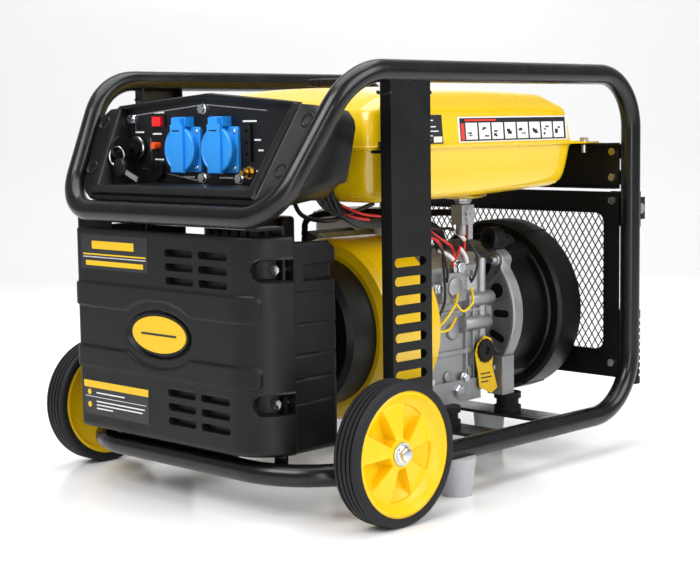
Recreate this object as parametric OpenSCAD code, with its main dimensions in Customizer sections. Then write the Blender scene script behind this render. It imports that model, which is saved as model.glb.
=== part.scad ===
// Open-frame petrol generator on two wheels, with folding handles.
// Millimetres. +Z is up, the control panel faces -Y and the long open side faces +X.
// The origin is on the ground, under the middle of the whole machine.

/* [Frame] */
// Distance between the centres of the two side tubes
frame_w = 412; // [380:1:480]
// From the panel's lower tube to the rear tubes, centre to centre
frame_l = 576; // [540:1:700]
// Height of the top tubes' centres
frame_h = 466; // [455:1:560]
// Outer diameter of the frame tube
tube_d = 24; // [20:0.5:27]
// Wall of the frame tube
tube_wall = 2; // [1.5:0.5:3]
// Height of the lower tubes' centres
low_z = 50; // [46:1:56]
// Distance between the panel's sloping tubes at their foot
panel_w = 346; // [330:1:360]
// Height of the tube under the panel
panel_z = 318; // [312:1:322]
// How far the panel's foot stands forward of its top
panel_run = 82.5; // [70:0.5:90]
// How far the lower front tube stands behind the panel's foot
low_back = 19; // [10:1:25]
// Bend radius of the side tubes
side_bend_r = 75; // [60:1:80]
// Bend radius under the panel
panel_bend_r = 55; // [45:1:60]
// Bend radius of the lower loop
loop_bend_r = 100; // [80:1:110]

/* [Side posts] */
// Width of the channel-section posts
post_w = 62; // [58:1:70]
// Depth of the posts' flanges
post_depth = 13; // [10:0.5:15]
// Distance from the front edge of the posts to the panel's foot
post_back = 133; // [128:1:140]
// Sheet thickness of the posts, plates and brackets
sheet = 2; // [1.5:0.5:3]
// Length of the slots in the posts
slot_l = 49; // [40:1:52]
// Height of the slots in the posts
slot_h = 10; // [8:0.5:12]
// Vertical pitch of the slots
slot_pitch = 20; // [17:0.5:24]

/* [Wheels] */
// Diameter of the tyres
wheel_d = 152; // [146:1:160]
// Width of the tyres
wheel_w = 32; // [28:1:36]
// Diameter on which the tyres sit
rim_d = 131.2; // [126:0.2:136]
// Diameter of the stub axles
axle_d = 16; // [12:0.5:18]
// Distance from the axle to the panel's foot
axle_back = 97; // [92:1:104]
// Radial clearance of every running fit
run_fit = 0.05; // [0.02:0.01:0.1]

/* [Handles] */
// Diameter of the handle tubes
handle_d = 22; // [18:0.5:24]
// Diameter of the grips
grip_d = 30; // [27:0.5:32]
// Length of the grips
grip_l = 94; // [80:1:120]
// Height of the handle pivots
pivot_z = 300; // [280:1:320]
// Height of the lower end of the hanging grips
grip_z = 76; // [60:1:100]
// Diameter of the pivot bolts
pivot_d = 8; // [6:0.5:9]

/* [Fuel tank] */
// Width of the tank's body
tank_w = 330; // [300:1:336]
// Length of the tank's body
tank_l = 364; // [340:1:372]
// Height of the seam between the two pressings
seam_z = 385; // [380:1:388]
// Depth of the lower pressing
tank_low_h = 60; // [50:1:62]
// Height of the upper pressing at its long edges
tank_up_h = 60; // [50:1:62]
// Rise of the crowned top above its edges
tank_crown = 10; // [5:0.5:12]
// Width of the seam flange
flange_w = 7; // [5:0.5:9]
// Diameter of the fuel cap
cap_d = 64; // [50:1:70]

/* [Control panel] */
// Width and height of a socket's flange
socket_flange = 50; // [48:0.5:52]
// Distance between the two sockets
socket_pitch = 62.5; // [58:0.5:66]
// Depth of the recess behind the upper edge of the bezel
recess_in = 5; // [4:0.5:10]
// Wall of the plastic housing
housing_wall = 3; // [2:0.5:4]

/* [Front cover] */
// Height of the cover
cover_h = 230; // [200:1:232]
// Height of the cover's lower edge
cover_z = 69; // [66:1:74]
// Depth of the cover's side walls
cover_d = 110; // [100:1:114]
// Radius of the cover's rounded edge
cover_r = 50; // [40:1:55]
// Wall of the cover
cover_wall = 3; // [2:0.5:4]

/* [Engine and alternator] */
// Height of the crankshaft
crank_z = 174; // [172:0.5:178]
// Sideways place of the crankshaft
crank_x = 36; // [30:1:40]
// Diameter of the crankshaft's journals
crank_d = 28; // [24:1:32]
// Lean of the cylinder above the horizontal
cyl_tilt = 25; // [20:1:30]
// Diameter of the blower housing
blower_d = 212; // [200:1:214]
// Diameter of the alternator's body
alt_d = 174; // [168:1:178]
// Diameter of the alternator's rear ring
ring_d = 222; // [210:1:224]
// Air gap between rotor and stator
air_gap = 0.8; // [0.5:0.1:1.5]
// Height of the rubber mounts
mount_h = 24; // [20:1:28]

/* [Hidden] */
$fn = 64;

cut = 1;                    // how far a cutting body runs past a face
tube_r = tube_d / 2;
half_w = frame_w / 2;
grip_r = grip_d / 2;
grip_behind = 29.5;         // from the rear tubes' centres back to the grips' centres
front_y = -(frame_l + tube_r + grip_behind + grip_r) / 2 + tube_r;
rear_y = front_y + frame_l;
loop_y = front_y + low_back;
top_y = front_y + panel_run;
sleeve_y = front_y + 261;   // where the lower loop is sleeved into the side tubes
panel_rise = frame_h - panel_z;
panel_lean = atan2(panel_rise, panel_run);

// ---- shapes that repeat ----

// Puts children with their +Z along the given axis
module along_x() { rotate([0, 90, 0]) children(); }
module along_y() { rotate([-90, 0, 0]) children(); }

module both_sides() {
    children();
    mirror([1, 0, 0]) children();
}

// Box given by its two corners
module box(low, high) { translate(low) cube(high - low); }

function unit(v) = v / norm(v);
function turn(a, b) = acos(max(-1, min(1, unit(a) * unit(b))));

// Straight hollow tube between two points
module straight_tube(p, q, r, bore) {
    axis = unit(q - p);
    side = unit(cross(axis, abs(axis.z) < 0.9 ? [0, 0, 1] : [0, 1, 0]));
    up = cross(axis, side);
    frame = [for (i = [0:2]) [side[i], up[i], axis[i], p[i]]];
    multmatrix([frame[0], frame[1], frame[2], [0, 0, 0, 1]])
        difference() {
            cylinder(r = r, h = norm(q - p));
            translate([0, 0, -cut]) cylinder(r = bore, h = norm(q - p) + 2 * cut);
        }
}

// Bend of a hollow tube at a corner, between directions a and b
module tube_bend(corner, a, b, bend_r, r, bore) {
    angle = turn(a, b);
    start = corner - a * bend_r * tan(angle / 2);
    axis = unit(cross(a, b));
    inward = cross(axis, a);
    centre = start + inward * bend_r;
    frame = [for (i = [0:2]) [-inward[i], a[i], axis[i], centre[i]]];
    multmatrix([frame[0], frame[1], frame[2], [0, 0, 0, 1]])
        rotate_extrude(angle = angle) translate([bend_r, 0]) difference() {
            circle(r = r);
            circle(r = bore);
        }
}

// Hollow tube through a list of points, with one bend radius for each inner point.
// Bending draws the wall a little thinner, and each straight runs slightly into its bends.
thinning = 0.03;
lap = 0.4;
module bent_tube(pts, bends, r, bore) {
    last = len(pts) - 1;
    dirs = [for (i = [0:last - 1]) unit(pts[i + 1] - pts[i])];
    backs = [for (i = [0:last]) (i == 0 || i == last) ? 0
        : bends[i - 1] * tan(turn(dirs[i - 1], dirs[i]) / 2) - lap];
    for (i = [0:last - 1])
        straight_tube(pts[i] + dirs[i] * backs[i], pts[i + 1] - dirs[i] * backs[i + 1], r, bore);
    for (i = [1:last - 1])
        tube_bend(pts[i], dirs[i - 1], dirs[i], bends[i - 1], r - thinning, bore + thinning);
}

// Solid flexible lead through hand-chosen points: one closed mesh, 8 sides
function bezier(p, t) = p[0] * pow(1 - t, 3) + p[1] * 3 * t * pow(1 - t, 2)
    + p[2] * 3 * t * t * (1 - t) + p[3] * pow(t, 3);
function spline_piece(pts, i, steps) =
    let (last = len(pts) - 1,
        a = pts[max(i - 1, 0)], b = pts[i], c = pts[i + 1], d = pts[min(i + 2, last)])
    [for (k = [0:steps - 1]) bezier([b, b + (c - a) / 6, c - (d - b) / 6, c], k / steps)];
function spline(pts, steps) = concat(
    [for (i = [0:len(pts) - 2]) each spline_piece(pts, i, steps)], [pts[len(pts) - 1]]);
module flexible_lead(pts, r, steps) {
    sides = 8;
    path = spline(pts, steps);
    last = len(path) - 1;
    rings = [for (i = [0:last])
        let (axis = unit(path[min(i + 1, last)] - path[max(i - 1, 0)]),
            side = unit(cross(axis, [0, 0.02, 1])), up = cross(side, axis))
        for (k = [0:sides - 1])
            path[i] + r * (side * cos(360 * k / sides) + up * sin(360 * k / sides))];
    walls = [for (i = [0:last - 1]) for (k = [0:sides - 1])
        let (n = (k + 1) % sides, row = i * sides)
        [row + k, row + sides + k, row + sides + n, row + n]];
    polyhedron(rings, concat(walls, [[for (k = [0:sides - 1]) k]],
        [[for (k = [sides - 1:-1:0]) last * sides + k]]));
}

// Hexagon-headed bolt with a washer, head towards +Z, bearing at z = 0
module hex_bolt(d, shank) {
    head_d = d * 1.9;
    cylinder(r = d * 1.05, h = d * 0.2);
    translate([0, 0, d * 0.2]) cylinder(r = head_d / 2, h = d * 0.65, $fn = 6);
    translate([0, 0, -shank]) cylinder(r = d / 2, h = shank + cut / 2);
}

// Slot with round ends, lying along X and cut through z = 0
module slot(length, height, depth) {
    translate([0, 0, -depth / 2]) linear_extrude(depth) {
        square([length - height, height], center = true);
        for (s = [-1, 1]) translate([s * (length - height) / 2, 0]) circle(r = height / 2);
    }
}

// ---- frame ----

bore_r = tube_r - tube_wall;
clevis_x = half_w - 22;         // centre of a handle
clevis_in = handle_d / 2 + 0.5; // from a handle's centre to the faces of its ears
ear_t = 3;
pivot_y = rear_y + grip_behind;
tab_y = rear_y - 4;             // front face of the tabs that the rear plates screw to
screw_x = half_w - 23;
screw_zs = [372, 340, 311, 106];
screw_hole_r = 2.6;
bolt_r = 3;
bolt_hole_r = 3.2;

side_path = [[half_w, sleeve_y, low_z], [half_w, rear_y, low_z], [half_w, rear_y, frame_h],
    [half_w, top_y, frame_h], [panel_w / 2, front_y, panel_z]];
function flip(p) = [-p.x, p.y, p.z];
upper_path = concat(side_path, [for (i = [len(side_path) - 1:-1:0]) flip(side_path[i])]);
rear_top_bend_r = side_bend_r - 10;
upper_bends = [side_bend_r, rear_top_bend_r, side_bend_r, panel_bend_r,
    panel_bend_r, side_bend_r, rear_top_bend_r, side_bend_r];

// Welded clevis that a handle folds on
module handle_clevis() {
    plate_y = rear_y + tube_r - 2;
    low = pivot_z - 22;
    difference() {
        union() {
            box([clevis_x - clevis_in - ear_t, plate_y, low], [half_w + 6, plate_y + 4, pivot_z + 22]);
            for (x = [clevis_x - clevis_in - ear_t, clevis_x + clevis_in])
                box([x, plate_y + 3, pivot_z - 14], [x + ear_t, pivot_y + 14, pivot_z + 14]);
        }
        translate([clevis_x - 30, pivot_y, pivot_z]) along_x()
            cylinder(r = pivot_d / 2 + run_fit, h = 60);
        translate([half_w, rear_y, low - cut]) cylinder(r = tube_r - tube_wall / 2, h = 50);
    }
}

// Welded tabs that take the screws of the rear plates
module rear_tab(z) {
    difference() {
        box([screw_x - 9, tab_y, z - 9], [half_w - tube_r + 1.5, tab_y + 3, z + 9]);
        translate([screw_x, tab_y - cut, z]) along_y() cylinder(r = screw_hole_r, h = 6);
    }
}

// Strap that hangs from the tube under the panel and holds the cover's upper bolt
cover_bolt_x = 140;
cover_bolt_zs = [123, 263];
strap_y = front_y + 35.5;
module right_upper_strap() {
    w = 18;
    difference() {
        union() {
            box([cover_bolt_x - w / 2, front_y, panel_z - tube_r - 1],
                [cover_bolt_x + w / 2, strap_y + 3, panel_z - tube_r + 2]);
            box([cover_bolt_x - w / 2, strap_y, cover_bolt_zs[1] - 12],
                [cover_bolt_x + w / 2, strap_y + 3, panel_z - tube_r + 2]);
        }
        translate([cover_bolt_x, strap_y - cut, cover_bolt_zs[1]]) along_y()
            cylinder(r = bolt_hole_r, h = 6);
    }
}

// The left pair holds the cover through its side wall
cover_left = -162;
side_strap_x = cover_left + cover_wall;
side_bolt_y = front_y + 40;
module left_upper_strap() {
    difference() {
        box([side_strap_x, front_y + 4, cover_bolt_zs[1] - 12],
            [side_strap_x + 3, side_bolt_y + 10, panel_z - tube_r + 6]);
        translate([side_strap_x - cut, side_bolt_y, cover_bolt_zs[1]]) along_x()
            cylinder(r = bolt_hole_r, h = 6);
    }
}

module upper_frame_tube() {
    color("#1b1c20") {
        bent_tube(upper_path, upper_bends, tube_r, bore_r);
        both_sides() handle_clevis();
        both_sides() for (z = screw_zs) rear_tab(z);
        right_upper_strap();
        left_upper_strap();
    }
}

axle_y = front_y + axle_back;
axle_z = wheel_d / 2;
wheel_gap = 24;                          // from a side tube's centre to the wheel's inner face
wheel_x = half_w + wheel_gap;
axle_plate_x = half_w + 9;               // inner face of the outer axle plate
axle_plate_t = 4;
axle_inner_x = half_w - 18;

// Welded bridge over the lower tube that carries a stub axle
module axle_bridge() {
    half = 18;
    top = axle_z + 18;
    difference() {
        box([axle_inner_x, axle_y - half, low_z - 6],
            [axle_plate_x + axle_plate_t, axle_y + half, top]);
        box([axle_inner_x + axle_plate_t, axle_y - half - cut, low_z - 7],
            [axle_plate_x, axle_y + half + cut, top - axle_plate_t]);
        translate([axle_inner_x - cut, axle_y, axle_z]) along_x()
            cylinder(r = axle_d / 2 + run_fit, h = 60);
    }
}

loop_path = [[half_w, sleeve_y, low_z], [half_w, loop_y, low_z],
    [-half_w, loop_y, low_z], [-half_w, sleeve_y, low_z]];
tray_z = low_z + tube_r - 4;
tray_t = 3;
module lower_strap_right() {
    w = 18;
    difference() {
        box([cover_bolt_x - w / 2, strap_y, low_z + 4],
            [cover_bolt_x + w / 2, strap_y + 3, cover_bolt_zs[0] + 12]);
        translate([cover_bolt_x, strap_y - cut, cover_bolt_zs[0]]) along_y()
            cylinder(r = bolt_hole_r, h = 6);
    }
}
module lower_strap_left() {
    difference() {
        box([side_strap_x, side_bolt_y - 10, low_z + 4],
            [side_strap_x + 3, side_bolt_y + 10, cover_bolt_zs[0] + 12]);
        translate([side_strap_x - cut, side_bolt_y, cover_bolt_zs[0]]) along_x()
            cylinder(r = bolt_hole_r, h = 6);
    }
}

module lower_frame_tube() {
    color("#1b1c20") {
        difference() {
            union() {
                bent_tube(loop_path, [loop_bend_r, loop_bend_r], tube_r, bore_r);
                box([battery_x - 6, loop_y - 4, tray_z],
                    [battery_x + battery_w + 6, battery_y + battery_d + 4, tray_z + tray_t]);
            }
            both_sides() box([axle_inner_x + 1, axle_y - 18, axle_z - axle_d / 2 - 2],
                [axle_plate_x, axle_y + 18, axle_z]);
        }
        both_sides() axle_bridge();
        lower_strap_right();
        lower_strap_left();
    }
}

post_y = front_y + post_back;
post_out = half_w + 6;                   // outer face of a post
slot_count = 8;
slot_top = 266;                          // height of the uppermost slot
tank_tab_z = seam_z - sheet;             // top of the tabs under the tank's flange
tank_tab_y = post_y + 18;
module side_post() {
    difference() {
        union() {
            box([post_out - sheet, post_y, low_z], [post_out, post_y + post_w, frame_h]);
            for (y = [post_y, post_y + post_w - sheet])
                box([post_out - post_depth - sheet, y, low_z], [post_out, y + sheet, frame_h]);
            box([tank_w / 2 + 1, tank_tab_y, tank_tab_z - 3],
                [post_out - sheet / 2, tank_tab_y + 22, tank_tab_z]);
        }
        for (z = [low_z, frame_h]) translate([half_w, post_y - cut, z]) along_y()
            cylinder(r = tube_r, h = post_w + 2 * cut);
        for (i = [0:slot_count - 1])
            translate([post_out, post_y + 4 + slot_l / 2, slot_top - i * slot_pitch])
                rotate([90, 0, 90]) slot(slot_l, slot_h, 6);
        translate([tank_bolt_x, tank_tab_y + 11, tank_tab_z - 4]) cylinder(r = bolt_hole_r, h = 6);
    }
}
module side_posts() { color("#202126") both_sides() side_post(); }

plate_t = sheet;
plate_y = tab_y - plate_t;               // front face of the rear plates
upper_plate_z = [326, seam_z - sheet];
module screw_holes(zs) {
    both_sides() for (z = zs) translate([screw_x, plate_y - 2, z]) along_y()
        cylinder(r = screw_hole_r, h = 6);
}
module upper_cross_plate() {
    reach = half_w - tube_r - 1;
    color("#17181c") difference() {
        union() {
            box([-reach, plate_y, upper_plate_z[0]], [reach, tab_y, upper_plate_z[1]]);
            box([-reach, plate_y - 26, upper_plate_z[1] - plate_t], [reach, tab_y, upper_plate_z[1]]);
            box([-reach, plate_y - 10, upper_plate_z[0]], [reach, tab_y, upper_plate_z[0] + plate_t]);
        }
        screw_holes([screw_zs[0], screw_zs[1]]);
        both_sides() translate([ear_x, ear_bolt_y, upper_plate_z[1] - 4])
            cylinder(r = bolt_hole_r, h = 6);
    }
}

panel_low = 88;
panel_high = 322;
window_w = 340;
window_z = [122, 295];
window_r = 12;
module mesh_panel() {
    reach = half_w - tube_r - 1;
    color("#17181c") difference() {
        box([-reach, plate_y, panel_low], [reach, tab_y, panel_high]);
        translate([0, plate_y + plate_t / 2, (window_z[0] + window_z[1]) / 2]) rotate([90, 0, 0])
            linear_extrude(6, center = true) {
                square([window_w, window_z[1] - window_z[0] - 2 * window_r], center = true);
                square([window_w - 2 * window_r, window_z[1] - window_z[0]], center = true);
                for (x = [-1, 1]) for (z = [-1, 1])
                    translate([x * (window_w / 2 - window_r),
                        z * ((window_z[1] - window_z[0]) / 2 - window_r)]) circle(r = window_r);
            }
        screw_holes([screw_zs[2], screw_zs[3]]);
    }
}

mesh_t = 1.2;
mesh_w = window_w + 16;
mesh_z = [window_z[0] - 8, window_z[1] + 8];
diamond = [20, 30];
strand = 3;
module expanded_mesh() {
    mesh_h = mesh_z[1] - mesh_z[0];
    mid_z = (mesh_z[0] + mesh_z[1]) / 2;
    a = diamond.x / 2 - strand / 2;
    b = diamond.y / 2 - strand;
    span_x = (mesh_w / 2 - a - strand) / diamond.x;
    span_z = (mesh_h / 2 - b - strand) / diamond.y;
    nx = floor(span_x);
    nz = floor(span_z);
    mx = floor(span_x - 0.5);
    mz = floor(span_z - 0.5);
    color("#2a2b2f") translate([0, plate_y, mid_z]) rotate([90, 0, 0]) linear_extrude(mesh_t)
        difference() {
            square([mesh_w, mesh_h], center = true);
            for (i = [-nx:nx]) for (k = [-nz:nz])
                translate([i * diamond.x, k * diamond.y])
                    polygon([[a, 0], [0, b], [-a, 0], [0, -b]]);
            for (i = [-mx - 1:mx]) for (k = [-mz - 1:mz])
                translate([(i + 0.5) * diamond.x, (k + 0.5) * diamond.y])
                    polygon([[a, 0], [0, b], [-a, 0], [0, -b]]);
        }
}

member_w = 44;
member_t = 4;
member_z = low_z - 4;                    // underside of the cross members
member_ys = [front_y + 340, front_y + 464];
mount_xs = [[crank_x - 66, crank_x + 70], [crank_x - 64, crank_x + 64]];
foot_x = 70;
module cross_members() {
    color("#1b1c20") difference() {
        for (y = member_ys)
            box([-half_w, y - member_w / 2, member_z], [half_w, y + member_w / 2, member_z + member_t]);
        both_sides() translate([half_w, member_ys[0] - member_w, low_z]) along_y()
            cylinder(r = tube_r, h = member_ys[1] - member_ys[0] + 2 * member_w);
        for (i = [0, 1]) for (x = mount_xs[i])
            translate([x, member_ys[i], member_z - cut]) cylinder(r = 4.2, h = 10);
    }
}

mount_r = 17;
base_z = member_z + member_t + mount_h;  // underside of the engine and alternator
module rubber_mounts() {
    color("#141416") for (i = [0, 1]) for (x = mount_xs[i])
        translate([x, member_ys[i], member_z + member_t]) {
            cylinder(r = mount_r, h = mount_h * 0.3);
            cylinder(r = mount_r - 3, h = mount_h);
            translate([0, 0, mount_h * 0.7]) cylinder(r = mount_r, h = mount_h * 0.3);
        }
}

mid_foot_y = sleeve_y - 20;
module feet() {
    color("#a9aaad") both_sides() {
        difference() {
            translate([half_w, mid_foot_y, 0]) cylinder(r1 = 17, r2 = 22, h = low_z - tube_r + 5);
            translate([half_w, mid_foot_y - 40, low_z]) along_y() cylinder(r = tube_r, h = 80);
        }
        translate([foot_x, member_ys[1], 0]) cylinder(r1 = 16, r2 = 20, h = member_z);
    }
}

// ---- wheels ----

hub_out = wheel_w - 6;                   // hub's outer face, from the wheel's inner face
hub_in = -(wheel_gap - 9 - axle_plate_t) + 2;
washer_t = 2;
module stub_axle() {
    start = axle_inner_x - 4;
    translate([start, axle_y, axle_z]) along_x()
        cylinder(r = axle_d / 2, h = wheel_x + hub_out + washer_t - start);
    translate([start, axle_y, axle_z]) along_x() cylinder(r = axle_d / 2 + 4, h = 4);
}
module stub_axles() { color("#c2c4c8") both_sides() stub_axle(); }

module axle_washer_set() {
    gap = 0.3;                           // end float of a wheel
    translate([axle_plate_x + axle_plate_t, axle_y, axle_z]) along_x() difference() {
        cylinder(r = axle_d / 2 + 4.5, h = washer_t - gap);
        translate([0, 0, -cut]) cylinder(r = axle_d / 2 + run_fit, h = 5);
    }
    translate([wheel_x + hub_out + gap, axle_y, axle_z]) along_x() difference() {
        cylinder(r = axle_d / 2 + 4.5, h = washer_t - gap);
        translate([0, 0, -cut]) cylinder(r = axle_d / 2 + run_fit, h = 5);
    }
    translate([wheel_x + hub_out + washer_t, axle_y, axle_z]) along_x() {
        cylinder(r = axle_d / 2 + 1, h = 3);
        intersection() {
            translate([0, 0, -6]) sphere(r = axle_d / 2 + 5);
            cylinder(r = axle_d / 2 - 0.2, h = 9);
        }
    }
}
module axle_washers() { color("#b9bbc0") both_sides() axle_washer_set(); }

tyre_r = wheel_d / 2;
rim_r = rim_d / 2;
groove = 2;
module tyre() {
    w = wheel_w;
    step = (w - 10) / 4;
    grooves = [for (i = [0:3]) let (x = 5 + step * (i + 0.5))
        each [[tyre_r, x - 1], [tyre_r - groove, x - 0.6], [tyre_r - groove, x + 0.6], [tyre_r, x + 1]]];
    translate([wheel_x, axle_y, axle_z]) along_x() rotate_extrude($fn = 96)
        polygon(concat([[rim_r, 0], [tyre_r - 4, 0], [tyre_r - 1, 1.4], [tyre_r, 4]], grooves,
            [[tyre_r, w - 4], [tyre_r - 1, w - 1.4], [tyre_r - 4, w], [rim_r, w]]));
}
module tyre_right() { color("#26272b") tyre(); }
module tyre_left() { color("#26272b") mirror([1, 0, 0]) tyre(); }

spokes = 5;
module rim() {
    bore = axle_d / 2 + run_fit;
    web = wheel_w - 15;
    translate([wheel_x, axle_y, axle_z]) along_x() {
        rotate_extrude($fn = 96) polygon([[bore, hub_in], [16, hub_in], [16, web - 4], [56, web - 6],
            [56, 1], [rim_r, 1], [rim_r, wheel_w - 1], [rim_r - 2.5, wheel_w - 1],
            [56, wheel_w - 5], [54, web + 1], [18, web + 3], [15, hub_out], [bore, hub_out]]);
        for (i = [0:spokes - 1]) rotate([0, 0, 90 + i * 360 / spokes])
            translate([0, 0, web - 2]) linear_extrude(8) polygon([[17, -5], [53, -13], [53, 13], [17, 5]]);
    }
}
module rim_right() { color("#f2cf16") rim(); }
module rim_left() { color("#f2cf16") mirror([1, 0, 0]) rim(); }

// ---- folding handles ----

handle_top = pivot_z + 10;
handle_low = grip_z + 10;
module handle() {
    difference() {
        translate([clevis_x, pivot_y, handle_low]) cylinder(r = handle_d / 2, h = handle_top - handle_low);
        translate([clevis_x, pivot_y, handle_low - cut])
            cylinder(r = handle_d / 2 - tube_wall, h = handle_top - handle_low + 2 * cut);
        translate([clevis_x - 20, pivot_y, pivot_z]) along_x()
            cylinder(r = pivot_d / 2 + run_fit, h = 40);
    }
}
module handle_right() { color("#202126") handle(); }
module handle_left() { color("#202126") mirror([1, 0, 0]) handle(); }

module grip() {
    ribs = 9;
    pitch = (grip_l - 14) / ribs;
    difference() {
        translate([clevis_x, pivot_y, grip_z]) cylinder(r = grip_r, h = grip_l);
        translate([clevis_x, pivot_y, handle_low]) cylinder(r = handle_d / 2, h = grip_l);
        for (i = [0:ribs - 1]) translate([clevis_x, pivot_y, grip_z + 8 + i * pitch])
            difference() {
                cylinder(r = grip_r + 2, h = pitch / 2);
                translate([0, 0, -cut]) cylinder(r = grip_r - 1.4, h = pitch);
            }
    }
}
module grip_right() { color("#2b2c30") grip(); }
module grip_left() { color("#2b2c30") mirror([1, 0, 0]) grip(); }

module handle_pivot() {
    out = clevis_in + ear_t;
    translate([clevis_x, pivot_y, pivot_z]) along_x() {
        translate([0, 0, -out]) cylinder(r = pivot_d / 2, h = 2 * out);
        translate([0, 0, -out - 4]) cylinder(r = pivot_d * 0.85, h = 4, $fn = 6);
        translate([0, 0, out]) cylinder(r = pivot_d * 0.85, h = 5, $fn = 6);
    }
}
module handle_pivots() { color("#b9bbc0") both_sides() handle_pivot(); }

module frame_screws() {
    color("#c9cbd0") both_sides() for (z = screw_zs) translate([screw_x, plate_y, z]) {
        along_y() cylinder(r = screw_hole_r - 0.1, h = 8);
        along_y() translate([0, 0, -2.6]) cylinder(r = 4.6, h = 2.6);
    }
}

// ---- fuel tank ----

tank_back = front_y + 516.5;
tank_front = tank_back - tank_l;
tank_wall = 2;
flange_t = 2;
ear_x = 150;
ear_bolt_y = plate_y - 14;
tank_ear = 15;                           // how far the side ears stand out
tank_bolt_x = tank_w / 2 + 8.5;
edge_z = seam_z + tank_up_h - tank_crown;
crown_z = seam_z + tank_up_h + tank_crown;

// Upper pressing's outer form, drawn in by "inset" for the inside
module tank_top_form(inset) {
    half = tank_w / 2 - inset;
    rise = crown_z - inset;
    crown_r = (half * half + 20 * 20) / 40;
    intersection() {
        translate([0, tank_back, seam_z]) rotate([90, 0, 0]) linear_extrude(tank_l)
            polygon([[-half, 0], [half, 0], [half - 4, edge_z - seam_z - 12 - inset],
                [half - 16, edge_z - seam_z + 4], [half - 16, 90], [16 - half, 90],
                [16 - half, edge_z - seam_z + 4], [4 - half, edge_z - seam_z - 12 - inset]]);
        translate([half, 0, 0]) rotate([90, 0, -90]) linear_extrude(2 * half)
            polygon([[-tank_front - inset, seam_z], [-tank_front - inset - 6, edge_z - 10 - inset],
                [-tank_front - inset - 40, edge_z + 3 - inset], [-tank_front - 60, crown_z + 20],
                [-tank_back + 60, crown_z + 20], [-tank_back + inset + 44, edge_z + 6 - inset],
                [-tank_back + inset + 6, edge_z - 10 - inset], [-tank_back + inset, seam_z]]);
        translate([0, tank_front - cut, rise - crown_r]) along_y()
            cylinder(r = crown_r, h = tank_l + 2 * cut, $fn = 96);
    }
}

cap_x = -10;
cap_y = tank_front + 124;
neck_r = 24;
cap_z = crown_z + 0.8;                   // underside of the fuel cap
cap_h = 9;
module tank_top() {
    fw = flange_w;
    color("#f2cf16") difference() {
        union() {
            tank_top_form(0);
            box([-tank_w / 2 - fw, tank_front - fw, seam_z],
                [tank_w / 2 + fw, tank_back + fw, seam_z + flange_t]);
            both_sides() box([tank_w / 2, tank_tab_y, seam_z],
                [tank_w / 2 + tank_ear, tank_tab_y + 22, seam_z + flange_t]);
            translate([cap_x, cap_y, crown_z - 16]) cylinder(r = neck_r, h = 16 + cap_h - 6);
        }
        translate([0, 0, -0.01]) tank_top_form(tank_wall);
        translate([cap_x, cap_y, crown_z - 30]) cylinder(r = neck_r - 2, h = 50);
        both_sides() translate([tank_bolt_x, tank_tab_y + 11, seam_z - cut]) cylinder(r = bolt_hole_r, h = 6);
    }
}

low_rear_rise = 8;                       // how much higher the tank's bottom is at the rear
module tank_low_form(inset) {
    half = tank_w / 2 - inset;
    bottom = seam_z - tank_low_h + inset;
    intersection() {
        translate([0, tank_back, 0]) rotate([90, 0, 0]) linear_extrude(tank_l)
            polygon([[-half, seam_z], [-half + 3, bottom + 16], [-half + 16, bottom], [half - 16, bottom],
                [half - 3, bottom + 16], [half, seam_z]]);
        translate([half, 0, 0]) rotate([90, 0, -90]) linear_extrude(2 * half)
            polygon([[-tank_front - inset, seam_z], [-tank_front - inset - 6, bottom + 18],
                [-tank_front - inset - 26, bottom], [-tank_front - 160, bottom],
                [-tank_back + inset + 26, bottom + low_rear_rise],
                [-tank_back + inset + 6, bottom + low_rear_rise + 14], [-tank_back + inset, seam_z]]);
    }
}
tap_x = 128;
tap_y = tank_front + 194;
tank_floor = seam_z - tank_low_h;
module tank_bottom() {
    fw = flange_w;
    color("#f2cf16") difference() {
        union() {
            tank_low_form(0);
            box([-tank_w / 2 - fw, tank_front - fw, seam_z - flange_t],
                [tank_w / 2 + fw, tank_back + fw, seam_z]);
            both_sides() box([ear_x - 14, tank_back, seam_z - flange_t],
                [ear_x + 14, plate_y - 2, seam_z]);
            both_sides() box([tank_w / 2, tank_tab_y, seam_z - flange_t],
                [tank_w / 2 + tank_ear, tank_tab_y + 22, seam_z]);
        }
        translate([0, 0, 0.01]) tank_low_form(tank_wall);
        both_sides() translate([ear_x, ear_bolt_y, seam_z - 4]) cylinder(r = bolt_hole_r, h = 6);
        both_sides() translate([tank_bolt_x, tank_tab_y + 11, seam_z - 4]) cylinder(r = bolt_hole_r, h = 6);
        translate([tap_x, tap_y, tank_floor - cut]) cylinder(r = 5, h = 6);
    }
}

module fuel_cap() {
    color("#1c1d20") difference() {
        union() {
            translate([cap_x, cap_y, cap_z]) cylinder(r = cap_d / 2, h = cap_h);
            for (a = [0:30:330]) translate([cap_x, cap_y, cap_z + 1]) rotate([0, 0, a])
                translate([cap_d / 2, 0, 0]) cylinder(r = 2, h = cap_h - 2);
        }
        translate([cap_x, cap_y, cap_z - cut]) cylinder(r = neck_r + 0.5, h = cap_h - 5 + cut);
    }
}

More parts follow.
